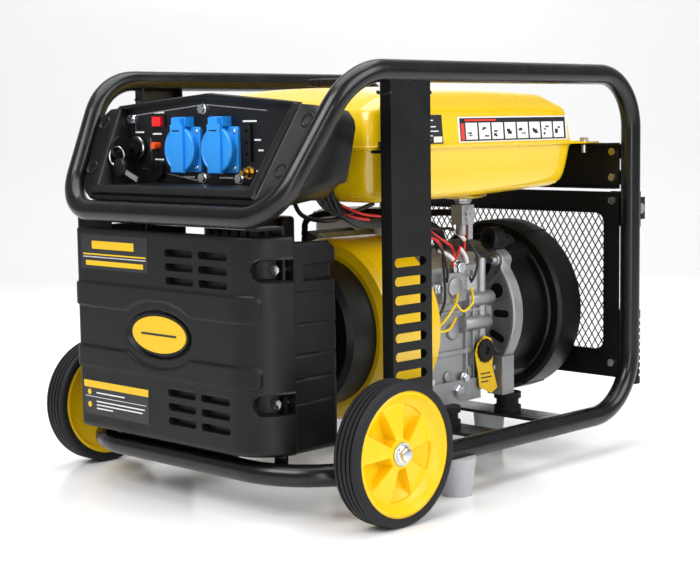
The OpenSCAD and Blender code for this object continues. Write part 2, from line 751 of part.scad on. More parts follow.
tap_lever_x = tap_x + 10;
tap_pivot_z = tank_floor - 20;
module fuel_tap() {
    color("#b9bbc0") {
        translate([tap_x, tap_y, tank_floor - 8]) cylinder(r = 9, h = 8, $fn = 6);
        translate([tap_x, tap_y, tank_floor - 8]) cylinder(r = 4.9, h = 10);
        box([tap_x - 8, tap_y - 11, tank_floor - 34], [tap_lever_x - 2, tap_y + 11, tank_floor - 8]);
        translate([tap_lever_x - 4, tap_y, tap_pivot_z]) along_x() cylinder(r = 3, h = 9);
        translate([tap_x - 13.8, tap_y, tap_pivot_z]) along_x() cylinder(r = 3.4, h = 8);
    }
}
module tap_lever() {
    color("#d4d5d8") difference() {
        union() {
            translate([tap_lever_x - 1.6, tap_y, tap_pivot_z]) along_x() cylinder(r = 8, h = 4);
            box([tap_lever_x - 1.6, tap_y - 4, tap_pivot_z - 30], [tap_lever_x + 1.4, tap_y + 4, tap_pivot_z]);
        }
        translate([tap_lever_x - 4, tap_y, tap_pivot_z]) along_x() cylinder(r = 3 + run_fit, h = 10);
    }
}

deck = 60;                               // from the crankshaft to the cylinder's joint
head_start = deck + 55;
function on_cyl(along, across) = [crank_x - along * cos(cyl_tilt) + across * sin(cyl_tilt),
    crank_z + along * sin(cyl_tilt) + across * cos(cyl_tilt)];
port_x = on_cyl(head_start + 16, 10)[0]; // sideways place of the inlet and exhaust ports
port_z = on_cyl(head_start + 16, 10)[1]; // and their height
port_r = 13;
carb_y = front_y + 287;
spigot_z = 264;
hose_r = 4;
hose_route = [[tap_x - 14, tap_y, tap_pivot_z], [tap_x - 34, tap_y, tap_pivot_z],
    [60, tap_y - 4, 303], [0, tap_y - 24, 304], [-50, 0, 302], [port_x + 4, carb_y + 2, 294],
    [port_x, carb_y, spigot_z + 14], [port_x, carb_y, spigot_z]];
module fuel_hose() { color("#18181a") flexible_lead(hose_route, hose_r, 5); }

// ---- control panel ----

// Lays children on the sloping face: x across, y up the slope, z outwards
module on_slope() { translate([0, front_y, panel_z]) rotate([panel_lean, 0, 0]) children(); }

bezel_out = 6;                           // bezel's face in front of the tubes' centre plane
slope_l = norm([panel_run, panel_rise]);
bezel_high = slope_l - 23;
bezel_peak = bezel_high + 15;
side_lean = atan2(half_w - panel_w / 2, slope_l);
corner_in = panel_w / 2 - panel_bend_r * (1 / cos(side_lean) - tan(side_lean));
corner_r = panel_bend_r - tube_r - 1.5;
corner_turns = [0, 30, 55, 80];
// Point on a lower corner of the bezel, just inside the frame's bend; side is 1 or -1
function bezel_corner(side, a) = [side * (corner_in + corner_r * sin(a)), panel_bend_r - corner_r * cos(a)];
function slope_half(s) = panel_w / 2 + (half_w - panel_w / 2) * s / slope_l - tube_r - 1.5;
board_y = front_y + 66.5;                // front face of the panel plate
board_t = 2;
housing_back = front_y + 124;
low_corner = 22;
board_zs = [panel_z + 30, panel_z + 114, panel_z + 124];
board_halfs = [126, 142];

module board_outline(shrink) {
    lo = board_halfs[0] - shrink;
    hi = board_halfs[1] - shrink;
    polygon([[-lo, board_zs[0] + shrink], [lo, board_zs[0] + shrink], [hi, board_zs[1] - shrink],
        [0, board_zs[2] - shrink], [-hi, board_zs[1] - shrink]]);
}
// Extrudes an X-Z outline along Y between two places
module through_y(from, to) { translate([0, to, 0]) rotate([90, 0, 0]) linear_extrude(to - from) children(); }

module housing_side() {
    peak_z = frame_h - 4;
    bottom = panel_z + 14;
    polygon([[-front_y + 20, bottom], [-front_y + 20, peak_z], [-housing_back, peak_z],
        [-housing_back, bottom + low_corner + 12], [-housing_back + low_corner, bottom]]);
}
module panel_housing() {
    depth = 170;
    color("#26272b") difference() {
        intersection() {
            translate([half_w, 0, 0]) rotate([90, 0, -90]) linear_extrude(frame_w) housing_side();
            on_slope() translate([0, 0, bezel_out - depth]) linear_extrude(depth)
                polygon([for (i = [3:-1:0]) bezel_corner(-1, corner_turns[i]),
                    for (a = corner_turns) bezel_corner(1, a),
                    [slope_half(bezel_high - 14), bezel_high - 14],
                    [slope_half(bezel_high) - 16, bezel_high], [0, bezel_peak],
                    [16 - slope_half(bezel_high), bezel_high],
                    [-slope_half(bezel_high - 14), bezel_high - 14]]);
            through_y(front_y - 20, housing_back + cut) polygon([[-176, panel_z], [176, panel_z],
                [176, frame_h - 34], [150, frame_h - 17], [0, frame_h - 3], [-150, frame_h - 17],
                [-176, frame_h - 34]]);
        }
        through_y(front_y - 40, board_y + board_t) board_outline(0);
        through_y(board_y, housing_back + cut) board_outline(8);
        on_slope() both_sides() for (s = [54, 112])
            translate([slope_half(s) - 12, s, bezel_out - 20]) cylinder(r = 4.5, h = 30);
        for (p = board_screws) translate([p.x, board_y, p.y]) along_y()
            cylinder(r = board_screw_d / 2 + 0.3, h = 10);
        translate([key_at.x, board_y, key_at.y]) along_y() cylinder(r = key_body_r + 0.5, h = 40);
    }
}

board_screws = [[-133, 420], [-7, 430], [-9, 354.3], [52, 354.3]];
board_screw_d = 5.5;
key_body_r = 9;
socket_xs = [-34.5, -34.5 + socket_pitch];
socket_z = panel_z + 67.6;
socket_r = 20.5;
rocker_at = [-84, 417];
reset_at = [-87, 390];
dc_at = [-84, 363];
key_at = [-120, 387.5];
earth_at = [68, 361];
strip_at = [66.5, 393];

module panel_plate() {
    color("#1d1e22") difference() {
        through_y(board_y, board_y + board_t) board_outline(0.3);
        for (p = board_screws) board_hole(p, board_screw_d / 2 + 0.3);
        for (x = socket_xs) board_hole([x, socket_z], socket_r + 0.3);
        board_hole(reset_at, 5);
        board_hole(dc_at, 6.8);
        board_hole(key_at, key_body_r + 0.2);
        board_hole(earth_at, 3.2);
        box([rocker_at.x - 10, board_y - cut, rocker_at.y - 6.5],
            [rocker_at.x + 10, board_y + 5, rocker_at.y + 6.5]);
    }
    color("#141416") difference() {
        box([rocker_at.x - 12, board_y - 2, rocker_at.y - 7.5], [rocker_at.x + 12, board_y, rocker_at.y + 7.5]);
        box([rocker_at.x - 9.2, board_y - 3, rocker_at.y - 5.6],
            [rocker_at.x + 9.2, board_y + 1, rocker_at.y + 5.6]);
    }
}
module board_hole(p, r) { translate([p.x, board_y - 3, p.y]) along_y() cylinder(r = r, h = 8); }

lid_face = board_y - 14;
hinge_z = socket_z + 32;
hinge_y = board_y - 9;
pin_r = 1.5;
ear_in = 8;
module socket_body(x) {
    h = socket_flange / 2;
    difference() {
        union() {
            box([x - h, board_y - 4, socket_z - h], [x + h, board_y, socket_z + h]);
            translate([x, board_y - 9, socket_z]) along_y() cylinder(r = 23, h = 6);
            translate([x, board_y - 1, socket_z]) along_y() cylinder(r = socket_r, h = 34);
            for (s = [-1, 1]) box([x + s * (ear_in + 1.5) - 1.5, hinge_y - 4, socket_z + h + 0.5],
                [x + s * (ear_in + 1.5) + 1.5, board_y, hinge_z + 4]);
            box([x - ear_in - 1, board_y - 2, socket_z + h - 1], [x + ear_in + 1, board_y, hinge_z + 4]);
        }
        translate([x, board_y - 10, socket_z]) along_y() cylinder(r = 19.5, h = 18);
        for (s = [-1, 1]) translate([x + s * 9.5, board_y, socket_z]) along_y() cylinder(r = 2.6, h = 26);
        for (sx = [-1, 1]) for (sz = [-1, 1]) translate([x + sx * 19, board_y - 6, socket_z + sz * 19])
            along_y() cylinder(r = 1.6, h = 8);
    }
    translate([x - ear_in - 2, hinge_y, hinge_z]) along_x() cylinder(r = pin_r, h = 2 * ear_in + 4);
}
module socket_bodies() { color("#1c84e8") for (x = socket_xs) socket_body(x); }

module socket_lid(x) {
    knuckle = 4;
    difference() {
        union() {
            translate([x, lid_face, socket_z]) along_y() cylinder(r = 25.5, h = 4.5);
            box([x - 10.5, lid_face - 3.5, socket_z - 26], [x + 10.5, lid_face + 0.5, hinge_z - 4.5]);
            box([x - ear_in + 0.5, lid_face - 3.5, hinge_z - 8], [x + ear_in - 0.5, hinge_y, hinge_z + knuckle - 1]);
            translate([x - ear_in + 0.5, hinge_y, hinge_z]) along_x()
                cylinder(r = knuckle, h = 2 * ear_in - 1);
        }
        translate([x - 15, hinge_y, hinge_z]) along_x() cylinder(r = pin_r + run_fit, h = 30);
    }
}
module socket_lid_left() { color("#2a90f0") socket_lid(socket_xs[0]); }
module socket_lid_right() { color("#2a90f0") socket_lid(socket_xs[1]); }

rocker_pivot_y = board_y + 1;
module rocker_switch() {
    color("#d8232a") box([rocker_at.x - 7.4, board_y - 5, rocker_at.y - 5.3],
        [rocker_at.x + 7.4, board_y + 4, rocker_at.y + 5.3]);
    color("#d8232a") translate([rocker_at.x, rocker_pivot_y, rocker_at.y - 6.3]) cylinder(r = 0.9, h = 12.6);
}
module reset_button() {
    color("#e8471d") {
        translate([reset_at.x, board_y - 8, reset_at.y]) along_y() cylinder(r = 3.9, h = 14);
    }
}
module dc_socket() {
    color("#141416") difference() {
        union() {
            translate([dc_at.x, board_y - 6, dc_at.y]) along_y() cylinder(r = 10.5, h = 6);
            translate([dc_at.x, board_y - 1, dc_at.y]) along_y() cylinder(r = 6.6, h = 20);
        }
        for (s = [-1, 1]) box([dc_at.x + s * 3.5 - 0.8, board_y - 8, dc_at.y - 3.5],
            [dc_at.x + s * 3.5 + 0.8, board_y + 8, dc_at.y + 3.5]);
    }
}
key_face = board_y - 12;
module key_switch() {
    color("#3a3b40") difference() {
        union() {
            translate([key_at.x, board_y - 4, key_at.y]) along_y() cylinder(r = 13, h = 4);
            translate([key_at.x, key_face, key_at.y]) along_y() cylinder(r = 11.5, h = 10);
            translate([key_at.x, board_y - 1, key_at.y]) along_y() cylinder(r = key_body_r, h = 34);
        }
        translate([key_at.x, key_face - cut, key_at.y]) along_y() cylinder(r = 5, h = 27);
    }
}
key_hole_y = key_face - 22;
module ignition_key() {
    color("#17181a") difference() {
        union() {
            translate([key_at.x - 2, key_face - 16, key_at.y]) along_x() cylinder(r = 13, h = 4);
            translate([key_at.x, key_face - 6, key_at.y]) along_y() cylinder(r = 4.95, h = 10);
        }
        translate([key_at.x - 5, key_hole_y, key_at.y]) along_x() cylinder(r = 4.6, h = 10);
    }
    color("#c9cbd0") box([key_at.x - 1, key_face + 3, key_at.y - 4], [key_at.x + 1, key_face + 24, key_at.y + 2.5]);
}
module earth_terminal() {
    color("#c9b46a") translate([earth_at.x, board_y, earth_at.y]) {
        along_y() translate([0, 0, -1.5]) cylinder(r = 7, h = 1.5);
        along_y() translate([0, 0, -7]) cylinder(r = 5.5, h = 6, $fn = 6);
        along_y() translate([0, 0, -13]) cylinder(r = 3, h = 26);
    }
}
module indicator_strip() {
    color("#0f1012") difference() {
        box([strip_at.x - 6, board_y - 3, strip_at.y - 20], [strip_at.x + 6, board_y, strip_at.y + 20]);
        for (k = [-1:1]) translate([strip_at.x, board_y - 5, strip_at.y + 12.5 * k]) along_y()
            cylinder(r = 2.2, h = 3.5);
    }
}

module m6_bolts() {
    color("#c9cbd0") {
        for (p = board_screws) translate([p.x, board_y, p.y]) rotate([90, 0, 0]) hex_bolt(board_screw_d, 8);
        for (z = cover_bolt_zs) translate([cover_bolt_x, strap_y - cover_wall, z]) rotate([90, 0, 0])
            hex_bolt(2 * bolt_r, 14);
        for (z = cover_bolt_zs) translate([cover_left, side_bolt_y, z]) rotate([0, -90, 0])
            hex_bolt(2 * bolt_r, 14);
        both_sides() translate([ear_x, ear_bolt_y, seam_z]) hex_bolt(2 * bolt_r, 14);
        both_sides() translate([tank_bolt_x, tank_tab_y + 11, seam_z + flange_t]) hex_bolt(2 * bolt_r, 12);
    }
}

// ---- front cover and battery ----

cover_right = 155;
module cover_plan(t) {
    r = cover_r - t;
    flat = cover_right - cover_r;
    translate([cover_left + t, front_y + t]) square([flat - cover_left - t, cover_d]);
    translate([flat - 1, front_y + cover_r]) square([cover_r + 1 - t, cover_d - cover_r + t]);
    translate([flat, front_y + cover_r]) circle(r = r);
}
vent = [45, 7];
vent_xs = [24.5, 79.5];
vent_zs = [276.5, 261.5, 246.5, 124.5, 109, 93.5];
pocket_r = 11;
module front_cover() {
    back = front_y + cover_d;
    color("#37383c") difference() {
        union() {
            translate([0, 0, cover_z]) linear_extrude(cover_h) difference() {
                cover_plan(0);
                cover_plan(cover_wall);
                translate([-200, back]) square([400, 20]);
            }
            for (z = cover_bolt_zs) intersection() {
                translate([cover_bolt_x, front_y, z]) along_y()
                    cylinder(r = pocket_r + cover_wall, h = strap_y - front_y);
                translate([0, 0, cover_z]) linear_extrude(cover_h) cover_plan(0);
            }
        }
        for (z = cover_bolt_zs) {
            translate([cover_bolt_x, front_y - cut, z]) along_y()
                cylinder(r = pocket_r, h = strap_y - cover_wall - front_y + cut);
            translate([cover_bolt_x, strap_y - 10, z]) along_y() cylinder(r = bolt_hole_r, h = 20);
            translate([cover_left - cut, side_bolt_y, z]) along_x() cylinder(r = bolt_hole_r, h = 10);
        }
        for (x = vent_xs) for (z = vent_zs) translate([x, front_y, z]) rotate([90, 0, 0])
            slot(vent.x, vent.y, 12);
        box([cover_right - 8, front_y + 62, cover_z + 178], [cover_right + 2, back + 2, cover_z + 201]);
    }
}

battery_w = 180;
battery_d = 76;
battery_x = -110;
battery_y = front_y + 29;
battery_h = 160;
module battery() {
    color("#121316") {
        box([battery_x, battery_y, tray_z + tray_t],
            [battery_x + battery_w, battery_y + battery_d, tray_z + tray_t + battery_h]);
        for (x = [battery_x + 22, battery_x + battery_w - 22])
            box([x - 7, battery_y + 8, tray_z + tray_t + battery_h],
                [x + 7, battery_y + 22, tray_z + tray_t + battery_h + 10]);
    }
}

// ---- engine ----

module on_crank() { translate([crank_x, 0, crank_z]) children(); }
case_front = front_y + 289;
case_back = case_front + 140;
blower_front = case_front - 86;
starter_r = 86;
starter_front = blower_front - 42;
rope_z = crank_z + 46;
rope_y = starter_front + 33;
rope_r = 2;
module recoil_housing() {
    depth = blower_front - starter_front;
    r = starter_r;
    t = 3;
    color("#202227") difference() {
        on_crank() translate([0, starter_front, 0]) along_y() difference() {
            rotate_extrude($fn = 96) polygon([[0, 0], [r - 6, 0], [r, 6], [r, depth],
                [r - t, depth], [r - t, 2 * t], [r - 2 * t - 1, t], [0, t]]);
            for (a = [0:30:330]) rotate([0, 0, a]) translate([54, 0, 0]) slot(34, 8, 12);
        }
        translate([crank_x - r - 10, rope_y, rope_z]) along_x() cylinder(r = rope_r + 1.5, h = 40);
    }
}
handle_x = crank_x - starter_r - 18;
module recoil_handle() {
    color("#17181a") {
        translate([handle_x, rope_y, rope_z]) cylinder(r = 9, h = 52, center = true);
        translate([handle_x, rope_y, rope_z]) along_x() cylinder(r = 7, h = 16);
        translate([handle_x, rope_y, rope_z]) along_x() cylinder(r = rope_r, h = crank_x - handle_x);
    }
}
blower_r = blower_d / 2;
module blower_housing() {
    t = 2;
    depth = case_front - blower_front;
    r = blower_r;
    color("#eac516") {
        difference() {
            on_crank() translate([0, blower_front, 0]) along_y() rotate_extrude($fn = 96)
                polygon([[starter_r - 3, 0], [r - 14, 0], [r - 4, 4], [r, 14], [r, depth], [60, depth],
                    [60, depth - t], [r - t, depth - t], [r - t, 14.6], [r - 5.5, 5.6],
                    [r - 14.6, t], [starter_r - 3, t]]);
            duct(t);
        }
        difference() {
            duct(0);
            duct(t);
            on_crank() translate([0, case_front - 60, 0]) along_y() cylinder(r = r - t / 2, h = 80);
        }
    }
}
// Duct that turns the cooling air towards the cylinder
module duct(inset) {
    on_crank() rotate([0, cyl_tilt, 0])
        box([2 * inset - 98, case_front - 46 + inset, inset - 24],
            [-80, case_front - 4 - inset, 52 - inset]);
}
fan_r = blower_r - 16;
module flywheel_fan() {
    back = case_front - 16;
    color("#8f9196") on_crank() {
        translate([0, back - 12, 0]) along_y() difference() {
            cylinder(r = fan_r - 6, h = 12);
            translate([0, 0, -cut]) cylinder(r = crank_d / 2, h = 20);
        }
        translate([0, back - 38, 0]) along_y() difference() {
            cylinder(r = 34, h = 26.5);
            translate([0, 0, -cut]) cylinder(r = crank_d / 2, h = 40);
        }
        for (a = [0:24:336]) rotate([0, a, 0])
            box([46, back - 32, -1.5], [fan_r - 8, back - 11, 1.5]);
    }
}

case_wall = 9;
pin_y = case_front + 64;
throw = 27;
alt_front = case_back;
alt_mid = alt_front + 34;
ring_front = alt_mid + 48;
ring_back = ring_front + 43;
shaft_end_r = 10;
module crankshaft() {
    color("#9c9ea3") on_crank() {
        translate([0, case_front - 58, 0]) along_y() cylinder(r = crank_d / 2, h = pin_y - case_front + 38);
        translate([0, pin_y + 20, 0]) along_y() cylinder(r = crank_d / 2, h = ring_front - pin_y - 14);
        translate([0, ring_front + 5, 0]) along_y() cylinder(r = shaft_end_r, h = 28);
        for (y = [pin_y - 24, pin_y + 12]) translate([0, y, 0]) along_y() cylinder(r = 44, h = 12);
        translate([throw, pin_y - 13, 0]) along_y() cylinder(r = 14, h = 26);
    }
}
rotor_r = 54;
rotor_front = alt_mid - 4;
rotor_l = 62;
module rotor() {
    color("#6e4a2a") on_crank() translate([0, rotor_front, 0]) along_y() difference() {
        union() {
            cylinder(r = rotor_r, h = rotor_l);
            translate([0, 0, -5]) cylinder(r = rotor_r - 12, h = rotor_l + 8);
        }
        translate([0, 0, -8]) cylinder(r = crank_d / 2, h = rotor_l + 20);
    }
}
alt_r = alt_d / 2;
alt_wall = 3;
module stator() {
    core_r = alt_r - alt_wall;
    color("#7c3f22") on_crank() translate([0, rotor_front - 2, 0]) along_y() difference() {
        union() {
            translate([0, 0, 8]) cylinder(r = core_r, h = rotor_l - 12);
            translate([0, 0, 2]) cylinder(r = core_r - 8, h = rotor_l - 2);
        }
        translate([0, 0, -cut]) cylinder(r = rotor_r + air_gap, h = rotor_l + 4);
    }
}

case_right = crank_x + 58;
case_top = crank_z + 78;
rail_z = [base_z, base_z + 26];
head_y = pin_y;
dip_at = [case_back - 14, crank_z - 42];
module crankcase() {
    outline = [[case_right, rail_z[0] + 20], [case_right, case_top - 14], [case_right - 14, case_top],
        [on_cyl(deck, 50).x + 6, case_top], on_cyl(deck, 50), on_cyl(deck, -50),
        [on_cyl(deck, -50).x - 6, rail_z[0] + 20]];
    color("#b4b6ba") difference() {
        union() {
            through_y(case_front, case_back) polygon(outline);
            box([-46, case_front + 8, rail_z[0]], [case_right + 8, case_back - 20, rail_z[1]]);
        }
        on_crank() translate([0, case_front + case_wall, 0]) along_y()
            cylinder(r = 49, h = case_back - case_front - 2 * case_wall);
        on_crank() translate([0, case_front - cut, 0]) along_y()
            cylinder(r = crank_d / 2 + run_fit, h = case_back - case_front + 2 * cut);
        on_crank() rotate([0, cyl_tilt - 90, 0]) translate([0, head_y, 0]) cylinder(r = 32, h = deck + 10);
        translate([case_right - 44, dip_at[0], dip_at[1]]) along_x() cylinder(r = 7, h = 60);
        for (x = mount_xs[0]) translate([x, member_ys[0], rail_z[0] - cut]) cylinder(r = 4.2, h = 12);
    }
}
fins = 7;
module on_cylinder() { on_crank() rotate([0, cyl_tilt - 90, 0]) translate([0, head_y, 0]) children(); }
module cylinder_block() {
    half = 44;
    color("#a9abb0") on_cylinder() difference() {
        union() {
            translate([0, 0, deck]) cylinder(r = 40, h = head_start - deck);
            for (i = [0:fins - 1]) translate([-half, -half, deck + 2 + i * 7.6]) cube([2 * half, 2 * half, 3]);
            translate([-half, -half, head_start]) cube([2 * half, 2 * half, 30]);
        }
        translate([0, 0, deck - cut]) cylinder(r = 32, h = head_start - deck + 1);
    }
}

module rocker_cover() {
    color("#2a2b2f") on_cylinder() difference() {
        translate([-36, -40, head_start + 30]) cube([72, 80, 22]);
        translate([-33, -37, head_start + 29]) cube([66, 74, 20]);
    }
}

muffler_low = [-188, head_y + 52, 200];
muffler_high = [port_x + 20, head_y + 138, 298];
module muffler() {
    t = 2;
    tail = [muffler_low.x + 20, muffler_high.y - 1, muffler_low.z + 74];
    color("#8d8f93") difference() {
        union() {
            difference() {
                box(muffler_low, muffler_high);
                box(muffler_low + [t, t, t], muffler_high - [t, t, t]);
            }
            translate([port_x, head_y + 44, port_z]) along_y() cylinder(r = port_r, h = 9);
            translate(tail) along_y() cylinder(r = 10, h = 12);
        }
        translate([port_x, head_y + 40, port_z]) along_y() cylinder(r = port_r - 3, h = 16);
        translate(tail - [0, 4, 0]) along_y() cylinder(r = 8, h = 30);
    }
}

module carburettor() {
    inlet_y = head_y - 44;
    color("#a3a5aa") difference() {
        union() {
            translate([port_x, carb_y - 24, port_z]) along_y()
                cylinder(r = port_r, h = inlet_y - carb_y + 24);
            box([port_x - 14, carb_y - 16, port_z - 24], [port_x + 14, carb_y + 14, port_z + 14.5]);
            translate([port_x, carb_y, port_z - 44]) cylinder(r = 10, h = 21);
            translate([port_x, carb_y, port_z + 10]) cylinder(r = 3.4, h = spigot_z - port_z - 10);
            translate(choke_at - [1, 0, 0]) along_x() cylinder(r = 2, h = 8);
        }
        translate([port_x, carb_y - 30, port_z]) along_y() cylinder(r = 9, h = 100);
    }
}
cleaner_low = [-186, carb_y - 78, 214];
cleaner_high = [port_x + 12, carb_y - 24, 300];
module air_cleaner() {
    t = 3;
    color("#232428") difference() {
        box(cleaner_low, cleaner_high);
        box(cleaner_low + [t, t, t], cleaner_high - [t, t, t]);
        translate([port_x, cleaner_high.y - 6, port_z]) along_y() cylinder(r = 8.5, h = 10);
    }
}
choke_at = [port_x - 19, carb_y - 6, port_z];
module choke_lever() {
    color("#2a2b2f") difference() {
        union() {
            translate(choke_at) along_x() cylinder(r = 5, h = 3.5);
            box(choke_at + [0, -2.5, 0], choke_at + [3.5, 2.5, 26]);
        }
        translate(choke_at - [2, 0, 0]) along_x() cylinder(r = 2 + run_fit, h = 10);
    }
}

module dipstick() {
    color("#141416") {
        translate([case_right, dip_at[0], dip_at[1]]) along_x() translate([0, 0, 0.2]) cylinder(r = 11, h = 5);
        translate([case_right + 5, dip_at[0], dip_at[1]]) along_x() cylinder(r = 14, h = 9);
        translate([case_right - 40, dip_at[0], dip_at[1]]) along_x() cylinder(r = 3, h = 42);
    }
}

bell_slots = 10;
module alternator_bell() {
    depth = alt_mid - alt_front;
    color("#c2c4c8") difference() {
        union() {
            on_crank() translate([0, alt_front, 0]) along_y() rotate_extrude($fn = 96)
                polygon([[20, 0], [alt_r - 6, 0], [alt_r, 6], [alt_r, depth], [alt_r - 7, depth],
                    [alt_r - 7, 8], [20, 6]]);
            on_crank() for (a = [45:90:315]) rotate([0, a, 0])
                translate([alt_r - 3, alt_front + 7, -8]) cube([13, depth - 7, 16]);
            for (x = mount_xs[1]) box([x - 12, alt_mid - 24, base_z], [x + 12, alt_mid, base_z + 46]);
        }
        on_crank() translate([0, alt_front + 8, 0]) along_y() cylinder(r = alt_r - 6.5, h = 60);
        on_crank() for (i = [0:bell_slots - 1]) rotate([0, i * 360 / bell_slots, 0])
            translate([56, alt_front + 2, 0]) rotate([90, 0, 0]) slot(28, 9, 20);
        for (x = mount_xs[1]) translate([x, member_ys[1], base_z - cut]) cylinder(r = 4.2, h = 12);
    }
}
module alternator_cover() {
    r = ring_d / 2;
    color("#17181b") on_crank() translate([0, alt_mid, 0]) along_y() difference() {
        rotate_extrude($fn = 96) polygon([[shaft_end_r + run_fit, ring_back - alt_mid - 20],
            [22, ring_back - alt_mid - 20], [22, ring_back - alt_mid - 3],
            [r - 3, ring_back - alt_mid - 3], [r - 3, ring_front - alt_mid + 3],
            [alt_r - alt_wall, ring_front - alt_mid + 3], [alt_r - alt_wall, 0], [alt_r, 0],
            [alt_r, ring_front - alt_mid], [r - 4, ring_front - alt_mid],
            [r, ring_front - alt_mid + 4], [r, ring_back - alt_mid], [shaft_end_r + run_fit, ring_back - alt_mid]]);
        for (a = [0:30:330]) rotate([0, 0, a]) translate([62, 0, ring_back - alt_mid]) slot(46, 9, 12);
    }
}

loom_r = 6;
loom_route = [[96, housing_back, 372], [100, -168, 352], [104, -140, 318], [106, -100, 304],
    [108, -50, 302], [106, -10, 298], [98, 30, 284], [80, 58, 270], [74, 64, case_top + 3.2]];
module wire_loom() { color("#1c1c1e") flexible_lead(loom_route, loom_r, 4); }

upper_frame_tube();
lower_frame_tube();
side_posts();
upper_cross_plate();
mesh_panel();
expanded_mesh();
cross_members();
rubber_mounts();
stub_axles();
axle_washers();
tyre_right();
tyre_left();
rim_right();
rim_left();
feet();
handle_right();
handle_left();
grip_right();
grip_left();
handle_pivots();
frame_screws();
m6_bolts();
tank_top();
tank_bottom();
fuel_cap();
fuel_tap();
tap_lever();
fuel_hose();
panel_housing();
panel_plate();
socket_bodies();
socket_lid_left();
socket_lid_right();
rocker_switch();
reset_button();
dc_socket();
key_switch();
ignition_key();
earth_terminal();
indicator_strip();
front_cover();
battery();
recoil_housing();
recoil_handle();
blower_housing();
flywheel_fan();
crankshaft();
rotor();
stator();
crankcase();
cylinder_block();
rocker_cover();
muffler();
carburettor();
air_cleaner();
choke_lever();
dipstick();
alternator_bell();
alternator_cover();
wire_loom();
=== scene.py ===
import bpy
import bmesh
import math
import random
from mathutils import Matrix, Vector


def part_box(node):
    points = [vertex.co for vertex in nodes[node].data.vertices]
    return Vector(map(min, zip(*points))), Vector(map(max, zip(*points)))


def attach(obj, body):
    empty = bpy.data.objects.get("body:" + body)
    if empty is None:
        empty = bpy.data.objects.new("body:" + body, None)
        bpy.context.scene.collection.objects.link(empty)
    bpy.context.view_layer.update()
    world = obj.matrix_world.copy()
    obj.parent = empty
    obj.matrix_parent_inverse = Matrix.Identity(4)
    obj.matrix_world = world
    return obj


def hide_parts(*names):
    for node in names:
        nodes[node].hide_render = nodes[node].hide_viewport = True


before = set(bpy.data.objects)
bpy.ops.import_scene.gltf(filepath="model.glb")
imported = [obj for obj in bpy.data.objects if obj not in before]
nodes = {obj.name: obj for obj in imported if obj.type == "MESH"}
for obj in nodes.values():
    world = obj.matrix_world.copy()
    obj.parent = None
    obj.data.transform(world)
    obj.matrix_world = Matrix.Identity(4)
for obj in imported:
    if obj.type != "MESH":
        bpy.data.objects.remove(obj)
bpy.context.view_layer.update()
print("frame loaded,", len(nodes), "nodes")

mm = 0.001


def linear(code):
    # turns an sRGB hex colour into the linear one that shaders read
    parts = [int(code[i:i + 2], 16) / 255 for i in (1, 3, 5)]
    return tuple(p / 12.92 if p <= 0.04045 else ((p + 0.055) / 1.055) ** 2.4 for p in parts) + (1.0,)


def put(tree, kind, inputs=None, **settings):
    # adds one node; an input is either a plain value or the socket that feeds it
    made = tree.nodes.new(kind)
    for name, value in settings.items():
        setattr(made, name, value)
    for name, value in (inputs or {}).items():
        socket = made.inputs[name]
        if isinstance(value, bpy.types.NodeSocket):
            tree.links.new(value, socket)
        else:
            socket.default_value = value
    return made


def finish(name, colour, rough=0.5, metallic=0.0, ior=1.5, coat=0.0, coatRough=0.1, tint=0.0, tintSize=30.0,
           grain=0.0, grainSize=1.0, roughSpread=0.06, lines=None, gloss=0.5):
    # one moulded, painted or metal finish; grainSize, tintSize and lines are in millimetres
    mat = bpy.data.materials.new(name)
    mat.use_nodes = True
    tree = mat.node_tree
    shader = tree.nodes["Principled BSDF"]
    shader.inputs["Metallic"].default_value = metallic
    if metallic < 0.5:
        shader.inputs["IOR"].default_value = ior
    shader.inputs["Coat Weight"].default_value = coat
    shader.inputs["Coat Roughness"].default_value = coatRough
    shader.inputs["Specular IOR Level"].default_value = gloss
    place = put(tree, "ShaderNodeTexCoord").outputs["Object"]
    base = linear(colour)
    broad = put(tree, "ShaderNodeTexNoise", {"Vector": place, "Scale": 1000 / tintSize, "Detail": 3.0})
    shade = put(tree, "ShaderNodeMix", {"Factor": broad.outputs["Fac"],
                "A": tuple(c * (1 - tint) for c in base[:3]) + (1,),
                "B": tuple(min(1, c * (1 + tint)) for c in base[:3]) + (1,)}, data_type="RGBA")
    tree.links.new(shade.outputs["Result"], shader.inputs["Base Color"])
    patchy = put(tree, "ShaderNodeMapRange", {"Value": broad.outputs["Fac"], "From Min": 0.3, "From Max": 0.7,
                 "To Min": max(0.02, rough - roughSpread), "To Max": min(1.0, rough + roughSpread)})
    tree.links.new(patchy.outputs["Result"], shader.inputs["Roughness"])
    if lines:
        axis, pitch, depth = lines
        wave = put(tree, "ShaderNodeTexWave", {"Vector": place, "Scale": 1000 / pitch / 20, "Distortion": 2.0,
                   "Detail": 2.0}, bands_direction=axis)
        bump = put(tree, "ShaderNodeBump", {"Height": wave.outputs["Fac"], "Strength": depth, "Distance": 0.0002})
        tree.links.new(bump.outputs["Normal"], shader.inputs["Normal"])
    elif grain:
        fine = put(tree, "ShaderNodeTexNoise", {"Vector": place, "Scale": 1000 / grainSize, "Detail": 2.0})
        bump = put(tree, "ShaderNodeBump", {"Height": fine.outputs["Fac"], "Strength": grain, "Distance": 0.0003})
        tree.links.new(bump.outputs["Normal"], shader.inputs["Normal"])
    return mat


